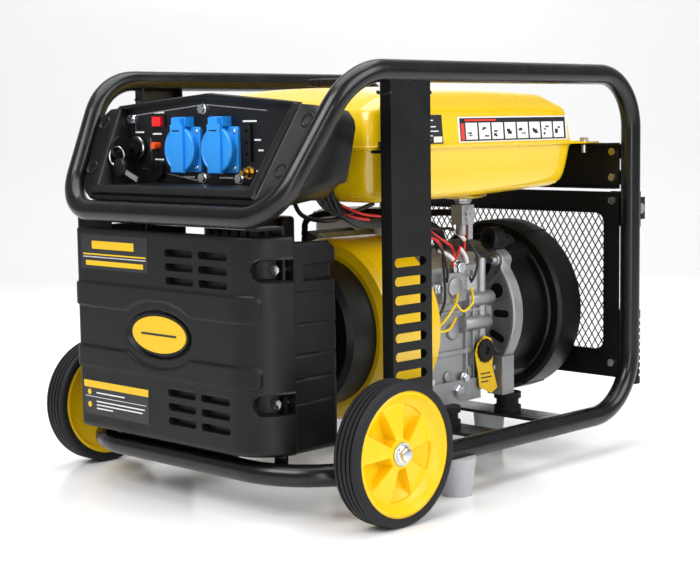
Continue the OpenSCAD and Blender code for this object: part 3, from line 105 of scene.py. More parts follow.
looks = {
    # semi-gloss powder coat on steel tube: soft highlights and a slight orange peel
    "powderCoat": finish("powder_coat_black", "#08090b", 0.26, coat=0.12, grain=0.12, grainSize=2.2, tint=0.12,
                         gloss=0.36),
    # satin paint on folded sheet steel, a little flatter than the tubes
    "satinPaint": finish("satin_paint_black", "#08090a", 0.40, grain=0.10, grainSize=1.6, tint=0.12, gloss=0.28),
    # baked enamel on pressed steel: deep gloss with a clear top layer
    "tankEnamel": finish("enamel_yellow", "#e4bd00", 0.30, coat=0.9, coatRough=0.06, tint=0.03, tintSize=120),
    "blowerEnamel": finish("enamel_yellow_engine", "#e0b800", 0.34, coat=0.6, coatRough=0.12, tint=0.05),
    # injection-moulded ABS wheel, glossy yellow
    "wheelPlastic": finish("moulded_abs_yellow", "#ecc002", 0.34, ior=1.46, tint=0.03, grain=0.04, grainSize=3),
    # solid rubber tyre: dark grey, dull, with dust in the pores
    "tyreRubber": finish("moulded_rubber_tyre", "#17181b", 0.6, tint=0.2, tintSize=14, grain=0.25,
                         grainSize=0.9, gloss=0.28),
    "gripRubber": finish("moulded_rubber_black", "#0d0d0f", 0.62, tint=0.15, grain=0.3, grainSize=0.8, gloss=0.28),
    "footRubber": finish("moulded_rubber_grey", "#a9aaae", 0.6, tint=0.08, tintSize=12, grain=0.2, grainSize=0.8),
    # polypropylene cover with a fine spark-eroded grain
    "coverPlastic": finish("grained_polypropylene_grey", "#0f1011", 0.42, ior=1.49, tint=0.06, grain=0.3,
                           grainSize=0.9, gloss=0.28),
    "panelPlastic": finish("grained_abs_black", "#0b0c0d", 0.36, ior=1.52, tint=0.06, grain=0.22,
                           grainSize=0.8, gloss=0.28),
    "plateBlack": finish("anodised_plate_black", "#131417", 0.38, tint=0.08, grain=0.08, grainSize=0.7, gloss=0.28),
    # black nylon for small parts; the same finish is also the painted shade in the alternator bracket's slots
    "smallBlack": finish("nylon_black_and_painted_shade", "#0b0c0d", 0.40, tint=0.1, grain=0.1, grainSize=0.7, gloss=0.28),
    "socketBlue": finish("moulded_polycarbonate_blue", "#1f8de2", 0.34, ior=1.58, tint=0.05, tintSize=10),
    "switchRed": finish("moulded_polycarbonate_red", "#e01c22", 0.25, ior=1.58, tint=0.04, tintSize=6),
    "buttonOrange": finish("moulded_abs_orange", "#f2541f", 0.3, tint=0.04, tintSize=6),
    # bright zinc plating on fasteners: light, slightly bluish, softly mirrored
    "zincPlate": finish("zinc_plated_steel", "#d3d5d9", 0.26, metallic=1.0, tint=0.08, tintSize=4),
    # sand-cast aluminium: pale grey, rough-grained, darker in the hollows
    "castAlloy": finish("sand_cast_aluminium", "#a3a4a6", 0.46, metallic=0.8, tint=0.16, tintSize=18, grain=0.6,
                        grainSize=1.4),
    "bareSteel": finish("turned_steel", "#8f9094", 0.34, metallic=1.0, tint=0.1, tintSize=12),
    "mufflerSteel": finish("heat_tinted_steel", "#8b8680", 0.42, metallic=1.0, tint=0.25, tintSize=30, grain=0.2),
    "copper": finish("enamelled_copper_wire", "#9a4a1e", 0.35, metallic=1.0, tint=0.2, tintSize=6, lines=("X",
                     1.2, 0.6)),
    "brass": finish("plated_brass", "#c8a85a", 0.28, metallic=1.0, tint=0.06, tintSize=4),
    "shellPaint": finish("satin_shell_black", "#0b0c0e", 0.36, grain=0.08, grainSize=1.5, tint=0.1, gloss=0.35),
}
# thin printed film on stickers: flat colour with a slight gloss
for colour, code, rough, tint in (("Yellow", "#dcb30f", 0.38, 0.04), ("White", "#dfe0e0", 0.38, 0.04),
                                  ("Black", "#17181b", 0.36, 0.08), ("Grey", "#1c1d1f", 0.38, 0.08),
                                  ("Red", "#d8352c", 0.38, 0.04)):
    looks["label" + colour] = finish("printed_film_" + colour.lower(), code, rough, tint=tint, tintSize=12)
# soft PVC sleeves on the wires
for colour, code, rough, tint in (("Red", "#d0201c", 0.34, 0.06), ("Yellow", "#e6c417", 0.34, 0.06),
                                  ("White", "#d6d7d5", 0.4, 0.06), ("Black", "#131315", 0.4, 0.1)):
    looks["wire" + colour] = finish("pvc_sleeve_" + colour.lower(), code, rough, tint=tint, tintSize=5)

nodeLooks = {
    "powderCoat": "upper_frame_tube lower_frame_tube cross_members handle_right handle_left",
    "satinPaint": "side_posts upper_cross_plate mesh_panel expanded_mesh recoil_housing alternator_cover rocker_cover",
    "gripRubber": "rubber_mounts grip_right grip_left fuel_hose wire_loom",
    "footRubber": "feet",
    "tyreRubber": "tyre_right tyre_left",
    "zincPlate": "stub_axles axle_washers handle_pivots frame_screws m6_bolts tap_lever",
    "wheelPlastic": "rim_right rim_left",
    "tankEnamel": "tank_top tank_bottom",
    "blowerEnamel": "blower_housing",
    "smallBlack": "fuel_cap dc_socket key_switch ignition_key indicator_strip battery recoil_handle air_cleaner "
                  "choke_lever dipstick",
    "panelPlastic": "panel_housing",
    "plateBlack": "panel_plate",
    "coverPlastic": "front_cover",
    "socketBlue": "socket_bodies socket_lid_left socket_lid_right",
    "switchRed": "rocker_switch",
    "buttonOrange": "reset_button",
    "brass": "earth_terminal",
    "castAlloy": "fuel_tap crankcase cylinder_block carburettor alternator_bell flywheel_fan",
    "bareSteel": "crankshaft",
    "mufflerSteel": "muffler",
    "copper": "rotor stator",
}
for look, names in nodeLooks.items():
    for name in names.split():
        slots = nodes[name].material_slots
        if not slots:
            nodes[name].data.materials.append(looks[look])
        for place in slots:
            place.material = looks[look]
print("finishes made,", len(looks))


# sizes from here on are in millimetres, up to the floor and the lights
def smooth(edge, value):
    # 0 below -edge, 1 above +edge, rounded between
    t = min(1.0, max(0.0, (value + edge) / (2 * edge)))
    return t * t * (3 - 2 * t)


def makePiece(name, bm, look, body="machine", crease=32, bevel=0.0, stands=(), thick=0.0):
    # turns a bmesh in millimetres into a finished object that rides on a body
    if not thick:
        bmesh.ops.recalc_face_normals(bm, faces=bm.faces)
    bmesh.ops.scale(bm, vec=(mm, mm, mm), verts=bm.verts)
    mesh = bpy.data.meshes.new(name)
    bm.to_mesh(mesh)
    bm.free()
    piece = bpy.data.objects.new(name, mesh)
    bpy.context.collection.objects.link(piece)
    mesh.materials.append(looks[look])
    mesh.shade_smooth()
    mesh.set_sharp_from_angle(angle=math.radians(crease))
    if thick:
        wall = piece.modifiers.new("wall", "SOLIDIFY")
        wall.thickness, wall.offset = thick * mm, -1
    if bevel:
        soft = piece.modifiers.new("softEdges", "BEVEL")
        soft.width, soft.segments, soft.limit_method = bevel * mm, 2, "ANGLE"
        soft.angle_limit = math.radians(35)
        soft.harden_normals = True
    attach(piece, body)
    if stands:
        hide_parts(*stands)


def addBox(bm, low, high, turn=None):
    made = bmesh.ops.create_cube(bm, size=1)["verts"]
    size = Vector(high) - Vector(low)
    for v in made:
        v.co = Vector(low) + Vector(((v.co.x + 0.5) * size.x, (v.co.y + 0.5) * size.y, (v.co.z + 0.5) * size.z))
    if turn:
        bmesh.ops.transform(bm, matrix=turn, verts=made)
    return made


def loft(bm, rings, cap=True, base=False):
    # bands of faces from ring to ring; base and cap close the first and the last one
    for a, b in zip(rings, rings[1:]):
        n = len(a)
        for k in range(n):
            bm.faces.new((a[k], a[(k + 1) % n], b[(k + 1) % n], b[k]))
    if base:
        bm.faces.new(rings[0][::-1])
    if cap:
        bm.faces.new(rings[-1])


def addPrism(bm, outline, place, near, far):
    # outline is a list of flat points; place(u, v, w) gives each its spot, w from near to far
    loft(bm, [[bm.verts.new(place(u, v, w)) for u, v in outline] for w in (near, far)], base=True)


def axisFrame(start, end):
    axis = (Vector(end) - Vector(start)).normalized()
    side = axis.orthogonal().normalized()
    return axis, side, axis.cross(side)


def ringAround(bm, centre, side, other, radius, sides):
    turns = [math.tau * k / sides for k in range(sides)]
    return [bm.verts.new(centre + radius * (side * math.cos(t) + other * math.sin(t))) for t in turns]


def addLathe(bm, profile, origin, towards, sides=48, close=False):
    # profile: (distance along the axis, radius); radius 0 closes to a point
    axis, side, other = axisFrame(origin, towards)
    rings = []
    for along, radius in profile:
        centre = Vector(origin) + axis * along
        if radius < 1e-6:
            rings.append([bm.verts.new(centre)])
            continue
        rings.append(ringAround(bm, centre, side, other, radius, sides))
    if close:
        rings.append(rings[0])
    for a, b in zip(rings, rings[1:]):
        for k in range(sides):
            n = (k + 1) % sides
            if len(a) == 1 and len(b) > 1:
                bm.faces.new((a[0], b[n], b[k]))
            elif len(b) == 1 and len(a) > 1:
                bm.faces.new((a[k], a[n], b[0]))
            elif len(a) > 1:
                bm.faces.new((a[k], a[n], b[n], b[k]))
    if not close:
        for ring in (rings[0], rings[-1]):
            if len(ring) > 1:
                bm.faces.new(ring)


def addRod(bm, start, end, radius, sides=24, soft=0.0):
    length = (Vector(end) - Vector(start)).length
    s = min(soft, radius * 0.6, length * 0.4)
    profile = [(0, radius), (length, radius)] if not s else [
        (0, radius - s), (s * 0.3, radius - s * 0.3), (s, radius), (length - s, radius),
        (length - s * 0.3, radius - s * 0.3), (length, radius - s)]
    addLathe(bm, profile, start, end, sides)


def smoothPath(points, steps=8):
    path = []
    pts = [Vector(p) for p in points]
    for i in range(len(pts) - 1):
        a, b, c, d = pts[max(i - 1, 0)], pts[i], pts[i + 1], pts[min(i + 2, len(pts) - 1)]
        for k in range(steps):
            t = k / steps
            path.append(0.5 * ((2 * b) + (c - a) * t + (2 * a - 5 * b + 4 * c - d) * t * t
                               + (3 * b - a - 3 * c + d) * t ** 3))
    path.append(pts[-1])
    return path


def addWire(bm, points, radius, sides=10, steps=8):
    # round lead along a smooth path, closed at both ends
    path = smoothPath(points, steps)
    side = None
    rings = []
    for i, p in enumerate(path):
        axis = (path[min(i + 1, len(path) - 1)] - path[max(i - 1, 0)]).normalized()
        side = axis.orthogonal() if side is None else side - axis * side.dot(axis)
        side.normalize()
        other = axis.cross(side)
        rings.append(ringAround(bm, p, side, other, radius, sides))
    loft(bm, rings, base=True)


def addHexBolt(bm, at, outward, size):
    # hexagon head with a flat washer and a chamfered top, bearing at "at"
    axis, side, other = axisFrame(at, Vector(at) + Vector(outward))
    tip = Vector(at) + axis * 10
    addLathe(bm, [(0, size * 1.1), (size * 0.16, size * 1.1), (size * 0.2, size * 1.04)], at, tip, 28)
    for low, high, top in ((0.20, 0.78, 0.92), (0.78, 0.88, 0.78)):
        loft(bm, [ringAround(bm, Vector(at) + axis * size * along, side, other, size * wide, 6)
                  for along, wide in ((low, 0.92), (high, top))], base=True)


def addCrossScrew(bm, at, outward, radius):
    # pan head with a round recess
    axis = Vector(outward).normalized()
    addLathe(bm, [(0, radius), (radius * 0.35, radius), (radius * 0.6, radius * 0.75),
                  (radius * 0.62, radius * 0.5), (radius * 0.25, radius * 0.3), (radius * 0.2, 0)],
             at, Vector(at) + axis * 10, 20)


def roundedRect(halfU, halfV, radius, steps=6):
    points = []
    for cu, cv, start in ((1, 1, 0), (-1, 1, 90), (-1, -1, 180), (1, -1, 270)):
        for k in range(steps + 1):
            a = math.radians(start + 90 * k / steps)
            points.append((cu * (halfU - radius) + radius * math.cos(a),
                           cv * (halfV - radius) + radius * math.sin(a)))
    return points


def sortedLines(values, gap=0.35):
    kept = []
    for v in sorted(values):
        if not kept or v - kept[-1] > gap:
            kept.append(v)
    return kept


def spread(start, end, step):
    n = max(1, round(abs(end - start) / step))
    return [start + (end - start) * i / n for i in range(n + 1)]


def spreads(*stops):
    # (where a stretch starts, its step) pairs; the last one only ends it
    return [v for (a, step), (b, last) in zip(stops, stops[1:]) for v in spread(a, b, step)]


def boxEdges(node):
    low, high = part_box(node)
    return [c / mm for c in low], [c / mm for c in high]


frontY = boxEdges("front_cover")[0][1]        # front face of the cover, and the panel tube's centre line
panelZ = 318.0                                # height at which the panel's sloping face starts
boardY = frontY + 66.5                        # front of the control plate

# dark plastic cover over the battery
cover = {"left": -162.0, "right": 155.0, "low": 69.0, "high": 299.0, "corner": 50.0, "wall": 3.0,
         "bandHeights": ((210.0, 236.0), (139.0, 163.0)), "bandRise": 2.4,
         "badge": (-13.0, 186.0), "badgeHalf": (46.5, 20.5), "ringHalf": (55.0, 26.0), "archHalf": (68.0, 37.5),
         "ventHeights": (276.5, 261.5, 246.5, 124.5, 109.0, 93.5), "ventMiddles": (24.5, 79.5),
         "ventSize": (45.0, 7.0),
         "pocketHeights": (263.0, 123.0), "pocketStart": 28.0, "seam": 74.5, "ribHeights": (239, 206, 172, 147, 122)}


def boxDistance(u, v, cu, cv, hu, hv, r):
    dx, dy = abs(u - cu) - hu + r, abs(v - cv) - hv + r
    return math.hypot(max(dx, 0), max(dy, 0)) + min(max(dx, dy), 0) - r


def ovalDistance(u, v, centre, half):
    k = math.hypot((u - centre[0]) / half[0], (v - centre[1]) / half[1])
    return (k - 1) * min(half)


flatEnd = cover["right"] - cover["corner"]    # where the front starts to curve
arcLength = cover["corner"] * math.pi / 2


def coverPlace(s, z, rise):
    # s runs along the cover's outline: X on the flat front, then round the corner and back along the side
    leftCorner = 9.0
    x0 = cover["left"]
    if s > flatEnd:
        turned = min(s - flatEnd, arcLength)
        a = turned / cover["corner"]
        straight = max(0.0, s - flatEnd - arcLength)
        nx, ny = math.sin(a), -math.cos(a)
        cx, cy = flatEnd, frontY + cover["corner"]
        return Vector((cx + (cover["corner"] + rise) * nx, cy + (cover["corner"] + rise) * ny + straight, z))
    bend = leftCorner * math.pi / 2
    if s >= x0 + leftCorner:
        return Vector((s, frontY - rise, z))
    into = x0 + leftCorner - s
    if into <= bend:
        a = into / leftCorner
        nx, ny = -math.sin(a), -math.cos(a)
        return Vector((x0 + leftCorner + (leftCorner + rise) * nx, frontY + leftCorner + (leftCorner + rise) * ny, z))
    return Vector((x0 - rise, frontY + leftCorner + into - bend, z))


def coverRise(s, z):
    rise = 0.0
    arch = ovalDistance(s, z, cover["badge"], cover["archHalf"])
    for low, high in cover["bandHeights"]:
        d = boxDistance(s, z, flatEnd + 32 - 160, (low + high) / 2, 160 + 5, (high - low) / 2, 8)
        rise = max(rise, cover["bandRise"] * smooth(1.0, -max(d, -arch)))
    oval = ovalDistance(s, z, cover["badge"], cover["ringHalf"])
    rise -= 4.5 * smooth(1.2, -oval)
    if s < flatEnd + 2:
        for zc in cover["ventHeights"]:
            for xc in cover["ventMiddles"]:
                d = boxDistance(s, z, xc, zc, cover["ventSize"][0] / 2, cover["ventSize"][1] / 2, 3.2)
                rise -= 9.0 * smooth(0.5, -d)
    u = s - flatEnd
    for zc in cover["pocketHeights"]:
        d = boxDistance(u, z, cover["pocketStart"] + 40, zc, 40, 10.5, 10.4)
        if u < cover["seam"] + 1:
            rise -= 13.0 * smooth(0.9, -d)
            rise += 0.9 * (smooth(0.7, 2.0 - d) * smooth(0.7, d))
    if u > cover["seam"]:
        rise -= 3.0 * smooth(0.8, u - cover["seam"] - 0.8)
        for i, zc in enumerate(cover["ribHeights"]):
            rise -= 1.1 * smooth(0.7, 1.1 - abs(z - zc + 0.04 * (u - cover["seam"]) * (1 if i < 2 else -0.3)))
        notch = boxDistance(u, z, cover["seam"] + 46, 258.5, 28, 8.5, 2)
        rise -= 7.0 * smooth(0.8, -notch)
    return rise


def buildCover():
    # fine columns and rows where the cover's shape turns sharply, coarse ones on its plain stretches
    left, low, high = cover["left"], cover["low"], cover["high"]
    columns = spreads((left - 98, 9), (left - 6, 1.6), (left + 10, 4), (-88, 1.25), (62, 3), (flatEnd - 8, 1.3),
                      (flatEnd + 46, 1.4), (flatEnd + 78, 3), (flatEnd + arcLength + 58, 0))
    ventHalf, ventRise = (size / 2 for size in cover["ventSize"])
    for xc in cover["ventMiddles"]:
        for side in (-1, 1):
            columns += [xc + side * (ventHalf + d) for d in (-3, -1.6, -0.6, 0.0, 0.6)]
    columns += [flatEnd + cover["seam"] + d for d in (-0.4, 0.4, 1.2, 2.0)]
    rows = spreads((low, 3), (88, 1.6), (130, 1.2), (166, 1.2), (206, 1.2), (240, 1.6), (284, 3), (high, 0))
    for zc in cover["ventHeights"]:
        for side in (-1, 1):
            rows += [zc + side * (ventRise + d) for d in (-2.2, -0.6, 0.0, 0.6)]
    columns, rows = sortedLines(columns), sortedLines(rows)
    bm = bmesh.new()
    grid = []
    for s in columns:
        u = s - flatEnd
        topDrop = 0.0
        if u > cover["seam"]:
            topDrop = 7.0 + 0.03 * (u - cover["seam"]) + max(0.0, (u - 128) * 0.8)
        line = []
        for z in rows:
            # the side wall is a little lower, with a rounded rear upper corner
            zz = low + (z - low) * (1 - topDrop / (high - low))
            rise = coverRise(s, zz)
            edge = min(z - rows[0], rows[-1] - z)
            rise -= 1.8 * (1 - smooth(1.5, edge - 1.5))
            line.append(bm.verts.new(coverPlace(s, zz, min(rise, 2.6))))
        grid.append(line)
    for a, b in zip(grid, grid[1:]):
        for k in range(len(rows) - 1):
            bm.faces.new((a[k], b[k], b[k + 1], a[k + 1]))
    makePiece("battery_cover", bm, "coverPlastic", crease=40, thick=cover["wall"], stands=("front_cover",))
    print("cover made,", len(columns) * len(rows), "points")


def ovalPlate(name, centre, half, near, far, look, sides=72):
    bm = bmesh.new()
    turns = [math.tau * i / sides for i in range(sides)]
    loft(bm, [[bm.verts.new((centre[0] + half[0] * k * math.cos(t), y, centre[1] + half[1] * k * math.sin(t)))
               for t in turns] for k, y in ((1.0, near), (0.985, far))], base=True)
    makePiece(name, bm, look)


def frontPlate(name, low, high, out, look, radius):
    # thin sticker on the cover's flat front: X and Z corners, and how far it stands out
    bm = bmesh.new()
    cx, cz = (low[0] + high[0]) / 2, (low[1] + high[1]) / 2
    outline = [(cx + u, cz + v) for u, v in roundedRect((high[0] - low[0]) / 2, (high[1] - low[1]) / 2, radius, 4)]
    addPrism(bm, outline, lambda u, v, w: (u, frontY - w, v), -0.4, out)
    makePiece(name, bm, look)


def buildCoverTrim():
    c = cover["badge"]
    ovalPlate("badge_ring", c, (cover["badgeHalf"][0] + 3.5, cover["badgeHalf"][1] + 3), frontY + 5, frontY + 1.4,
              "coverPlastic")
    ovalPlate("badge_plate", c, cover["badgeHalf"], frontY + 3, frontY + 0.4, "labelYellow")
    bm = bmesh.new()
    addBox(bm, (c[0] - 30, frontY + 0.2, c[1] - 1.2), (c[0] + 30, frontY + 0.5, c[1] + 1.2))
    makePiece("badge_bar", bm, "labelBlack")
    for name, low, high, out, look, radius in (
            ("upper_label", (-149, 252), (-28, 291), 0.25, "labelGrey", 2.0),
            ("upper_label_line", (-145, 268), (-31, 269.6), 0.4, "labelYellow", 0.6),
            ("upper_label_under", (-145, 265.2), (-31, 266.2), 0.4, "labelWhite", 0.6),
            ("upper_label_block", (-128, 275), (-52, 284), 0.4, "labelYellow", 0.6),
            ("upper_label_row", (-140, 256), (-36, 261.5), 0.4, "labelYellow", 0.6),
            ("lower_label", (-151, 84), (-33, 123), 0.25, "labelGrey", 2.0),
            ("lower_label_head", (-151, 115), (-33, 123), 0.4, "labelYellow", 1.0),
            ("lower_label_line", (-149, 104.2), (-37, 104.8), 0.4, "labelWhite", 0.2)):
        frontPlate(name, low, high, out, look, radius)
    bm = bmesh.new()
    for z, wide in ((109.5, 52), (99.5, 88), (95.5, 84), (91.5, 30)):
        addBox(bm, (-128, frontY - 0.42, z - 0.7), (wide - 128, frontY - 0.2, z + 0.7))
    makePiece("lower_label_rows", bm, "labelWhite")
    bm = bmesh.new()
    for z in (109.5, 95):
        addLathe(bm, [(0, 3.4), (0.25, 3.2)], (-141, frontY - 0.2, z), (-141, frontY - 2, z), 20)
    makePiece("lower_label_marks", bm, "labelYellow")


# wheels: "inner" is the side next to the frame, "back" the axle's place behind the front
wheel = {"inner": 230.0, "radius": 76.0, "rim": 65.6, "spokes": 5, "spokeHalf": 19.0, "hub": 15.5, "bore": 8.05,
         "height": 76.0, "back": 97.0, "lip": 61.5, "dish": 51.0, "face": 31.0, "floor": 19.5, "hubFace": 25.6,
         "firstAngle": 96}


def rimHeight(r, angle):
    # how far the rim's outer face stands from the wheel's inner side
    lip, dish, face, floor = wheel["lip"], wheel["dish"], wheel["face"], wheel["floor"]
    if r > lip:
        return face - 1.2 * smooth(1.5, r - wheel["rim"] + 1.5)
    spoke = floor + 5.0 * (dish - min(r, dish)) / (dish - 17)
    pocket = 18.0 - 8.0 * min(1.0, max(0.0, (dish + 1 - r) / 16.0))
    step = 360 / wheel["spokes"]
    off = abs((angle + step / 2) % step - step / 2)
    inSpoke = smooth(1.3, wheel["spokeHalf"] - off)
    surface = pocket + (spoke - pocket) * inSpoke
    if r >= dish:
        surface = face - (face - floor) * ((lip - r) / (lip - dish)) ** 0.7 if r > dish else floor
    return wheel["hubFace"] + (surface - wheel["hubFace"]) * smooth(1.6, r - wheel["hub"] - 1.6)


def buildRim(side):
    bm = bmesh.new()
    axisY, axisZ = frontY + wheel["back"], wheel["height"]
    radii = [wheel["bore"], 9.5, 12, 14, 15, 16, 17, 18, 19.5, 22, 27, 33, 39, 44, 48, 50.4, 51.4, 52.5, 54, 56, 58,
             60, 61.2, 62, 63.5, 64.6, 65.3]
    step = 360 / wheel["spokes"]
    half = [8, 14, 17.4, 18.4, 19.0, 19.6, 20.6, 22.5, 26, 31]
    angles = [k * step + d for k in range(wheel["spokes"]) for d in [-36] + [-h for h in half[::-1]] + [0] + half]

    def at(r, a, x):
        t = math.radians(a + wheel["firstAngle"])
        return bm.verts.new((side * (wheel["inner"] + x), axisY + r * math.cos(t), axisZ + r * math.sin(t)))
    rings = [[at(r, a, rimHeight(r, a)) for a in angles] for r in radii]
    rings += [[at(r, a, x) for a in angles] for r, x in
              ((wheel["rim"], 30.0), (wheel["rim"], 1.0), (62, 1.0), (58, 6), (50, 8), (20, 7), (15.5, 6.5),
               (15.5, -9), (wheel["bore"], -9))]
    loft(bm, rings + [rings[0]], cap=False)
    word = "right" if side > 0 else "left"
    makePiece("wheel_centre_" + word, bm, "wheelPlastic", body="wheel_" + word, crease=28,
              stands=("rim_" + word,))


def buildTyre(side):
    # solid tyre with four grooves and rounded shoulders
    bm = bmesh.new()
    r = wheel["radius"]
    start = (side * wheel["inner"], frontY + wheel["back"], wheel["height"])
    end = (side * (wheel["inner"] + 40), start[1], start[2])
    profile = [(0.6, wheel["rim"]), (0, 68), (0, 71.2), (0.5, 73.2), (1.8, 74.8), (3.6, 75.7)]
    for k in range(4):
        x = 7.0 + 6.0 * k
        profile += [(x - 1.5, r), (x - 1.0, r - 0.5), (x - 0.8, r - 2.6), (x + 0.8, r - 2.6), (x + 1.0, r - 0.5),
                    (x + 1.5, r)]
    profile += [(28.4, 75.7), (30.2, 74.8), (31.5, 73.2), (32, 71.2), (32, 68), (31.4, wheel["rim"])]
    addLathe(bm, profile, start, end, 128, close=True)
    word = "right" if side > 0 else "left"
    makePiece("tyre_tread_" + word, bm, "tyreRubber", body="wheel_" + word, crease=38,
              stands=("tyre_" + word,))
    # washers on both sides of the hub, and the axle's riveted end
    bm = bmesh.new()
    x = side * (wheel["inner"] + 26.1)
    hubEnd = (x, start[1], start[2])
    tip = (x + side * 20, start[1], start[2])
    addLathe(bm, [(0, 12.4), (1.5, 12.4), (1.9, 12.0)], hubEnd, tip, 40)
    addLathe(bm, [(1.9, 9.3), (3.2, 9.3), (3.9, 8.6), (4.3, 7.4), (6.9, 7.3), (8.0, 6.7), (8.6, 5.2), (8.85, 0)],
             hubEnd, tip, 40)
    inner = (side * (wheel["inner"] - 11), start[1], start[2])
    addLathe(bm, [(0, 12.4), (1.7, 12.4)], inner, (inner[0] + side * 10, start[1], start[2]), 40)
    makePiece("axle_end_" + word, bm, "zincPlate", crease=30,
              stands=("axle_washers",) if side > 0 else ())


# fuel tank; the lean is that of its right side
tank = {"halfWide": 165.0, "front": -151.8, "rear": 212.2, "seam": 385.0, "bottom": 325.0, "crown": 455.0,
        "flange": 7.0, "sideLean": 0.088, "leanFrom": 389.6, "leanTo": 421.0}


def tankRing(bm, insetX, insetFront, insetRear, radius, height):
    # one rounded rectangle round the tank; height is a number, or gives each point's height from x and y
    halfX = tank["halfWide"] - insetX
    front, rear = tank["front"] + insetFront, tank["rear"] - insetRear
    midY, halfY = (front + rear) / 2, (rear - front) / 2
    pts = []
    steps = 8
    corners = [(1, 1, 0), (-1, 1, 90), (-1, -1, 180), (1, -1, 270)]
    for i, (cu, cv, start) in enumerate(corners):
        for k in range(steps + 1):
            a = math.radians(start + 90 * k / steps)
            pts.append((cu * (halfX - radius) + radius * math.cos(a), cv * (halfY - radius) + radius * math.sin(a)))
        u, v, start = corners[(i + 1) % 4]
        a = math.radians(start)
        nextPoint = (u * (halfX - radius) + radius * math.cos(a), v * (halfY - radius) + radius * math.sin(a))
        last = pts[-1]
        for k in range(1, 12):
            pts.append((last[0] + (nextPoint[0] - last[0]) * k / 12, last[1] + (nextPoint[1] - last[1]) * k / 12))
    return [bm.verts.new((x, midY + y, height(x, midY + y) if callable(height) else height)) for x, y in pts]


def buildTank():
    def crown(x, y, drop=0.0):
        return tank["crown"] - 9 * (x / 150) ** 2 - 6 * ((y - 30) / 190) ** 2 - drop

    def floorHeight(x, y, rise=0.0):
        return tank["bottom"] + 8 * max(0.0, (y - 20) / 190) + rise

    def rolledSeam(way, gap):
        # the flange's rounded edge, above the seam or below it
        return [(edge, edge, edge, radius, seam + way * out) for edge, radius, out in
                ((-w + 0.4, 12, gap), (-w, 12, 0.9), (-w + 0.4, 12, 1.8), (-2.2, 15, 2.0))]
    seam, w = tank["seam"], tank["flange"]
    levels = rolledSeam(1, 0) + [
        (-0.6, -0.6, -0.6, 16, seam + 2.6), (0, 0, 0, 17, seam + 4.6), (1.5, 2, 2, 18, 409.0), (3.2, 4, 4, 18, 421.0),
        (4.2, 5.5, 5.5, 18, 425.0), (6.4, 8.5, 9.5, 17, 428.4), (14, 26, 32, 15, 438.5), (18.5, 36, 42, 14, 443.0),
        (23, 44, 50, 13, lambda x, y: min(446.4, crown(x, y, 0.6))), (31, 54, 60, 12, crown), (60, 85, 90, 12, crown),
        (95, 120, 124, 12, crown), (130, 150, 150, 12, crown), (150, 168, 168, 8, crown)]
    bm = bmesh.new()
    loft(bm, [tankRing(bm, *level) for level in levels])
    neck = boxEdges("fuel_cap")
    cx, cy = (neck[0][0] + neck[1][0]) / 2, (neck[0][1] + neck[1][1]) / 2
    addLathe(bm, [(0, 24), (16, 24), (17, 23), (17, 21.5), (0, 21.5)], (cx, cy, 444), (cx, cy, 480), 48, close=True)
    makePiece("tank_upper_pressing", bm, "tankEnamel", crease=44, stands=("tank_top",))
    bm = bmesh.new()
    levels = rolledSeam(-1, 0.05) + [
        (-0.6, -0.6, -0.4, 17, seam - 2.8), (0.2, 0.2, 0.4, 18, seam - 5.5),
        (2.0, 2.5, 3.0, 20, lambda x, y: 0.5 * (seam + floorHeight(x, y))),
        (3.4, 5.0, 5.0, 22, lambda x, y: floorHeight(x, y, 15)),
        (5.0, 8.0, 8.0, 22, lambda x, y: floorHeight(x, y, 9)),
        (8.5, 13, 13, 20, lambda x, y: floorHeight(x, y, 4)),
        (14.5, 20, 20, 18, lambda x, y: floorHeight(x, y, 1)),
        (24, 30, 30, 16, floorHeight), (80, 90, 90, 12, floorHeight), (140, 150, 150, 10, floorHeight)]
    loft(bm, [tankRing(bm, *level) for level in levels])
    rearEdge = boxEdges("tank_bottom")[1][1]
    for side in (-1, 1):
        addBox(bm, (side * 150 - 14, tank["rear"] + 2, seam - 2), (side * 150 + 14, rearEdge, seam))
    # stiffening dimple round the fuel tap
    tap = boxEdges("fuel_tap")
    tx, ty = 128.0, (tap[0][1] + tap[1][1]) / 2
    addLathe(bm, [(0, 30), (2.5, 24), (4, 14), (4.2, 0)], (tx - 2, ty, tank["bottom"] + 1), (tx - 2, ty, 200), 32)
    makePiece("tank_lower_pressing", bm, "tankEnamel", crease=40, stands=("tank_bottom",))
    print("tank made")


def tankSide(z):
    # X of the tank's right side, which leans in as it rises
    return tank["halfWide"] + 0.2 - (min(z, tank["leanTo"]) - tank["leanFrom"]) * tank["sideLean"]


def sideSticker(name, y0, z0, y1, z1, look, out=0.3):
    # thin sticker on the tank's right side
    bm = bmesh.new()
    addPrism(bm, ((y0, z0), (y1, z0), (y1, z1), (y0, z1)), lambda y, z, w: (tankSide(z) + w, y, z), 0.0, out)
    makePiece(name, bm, look)


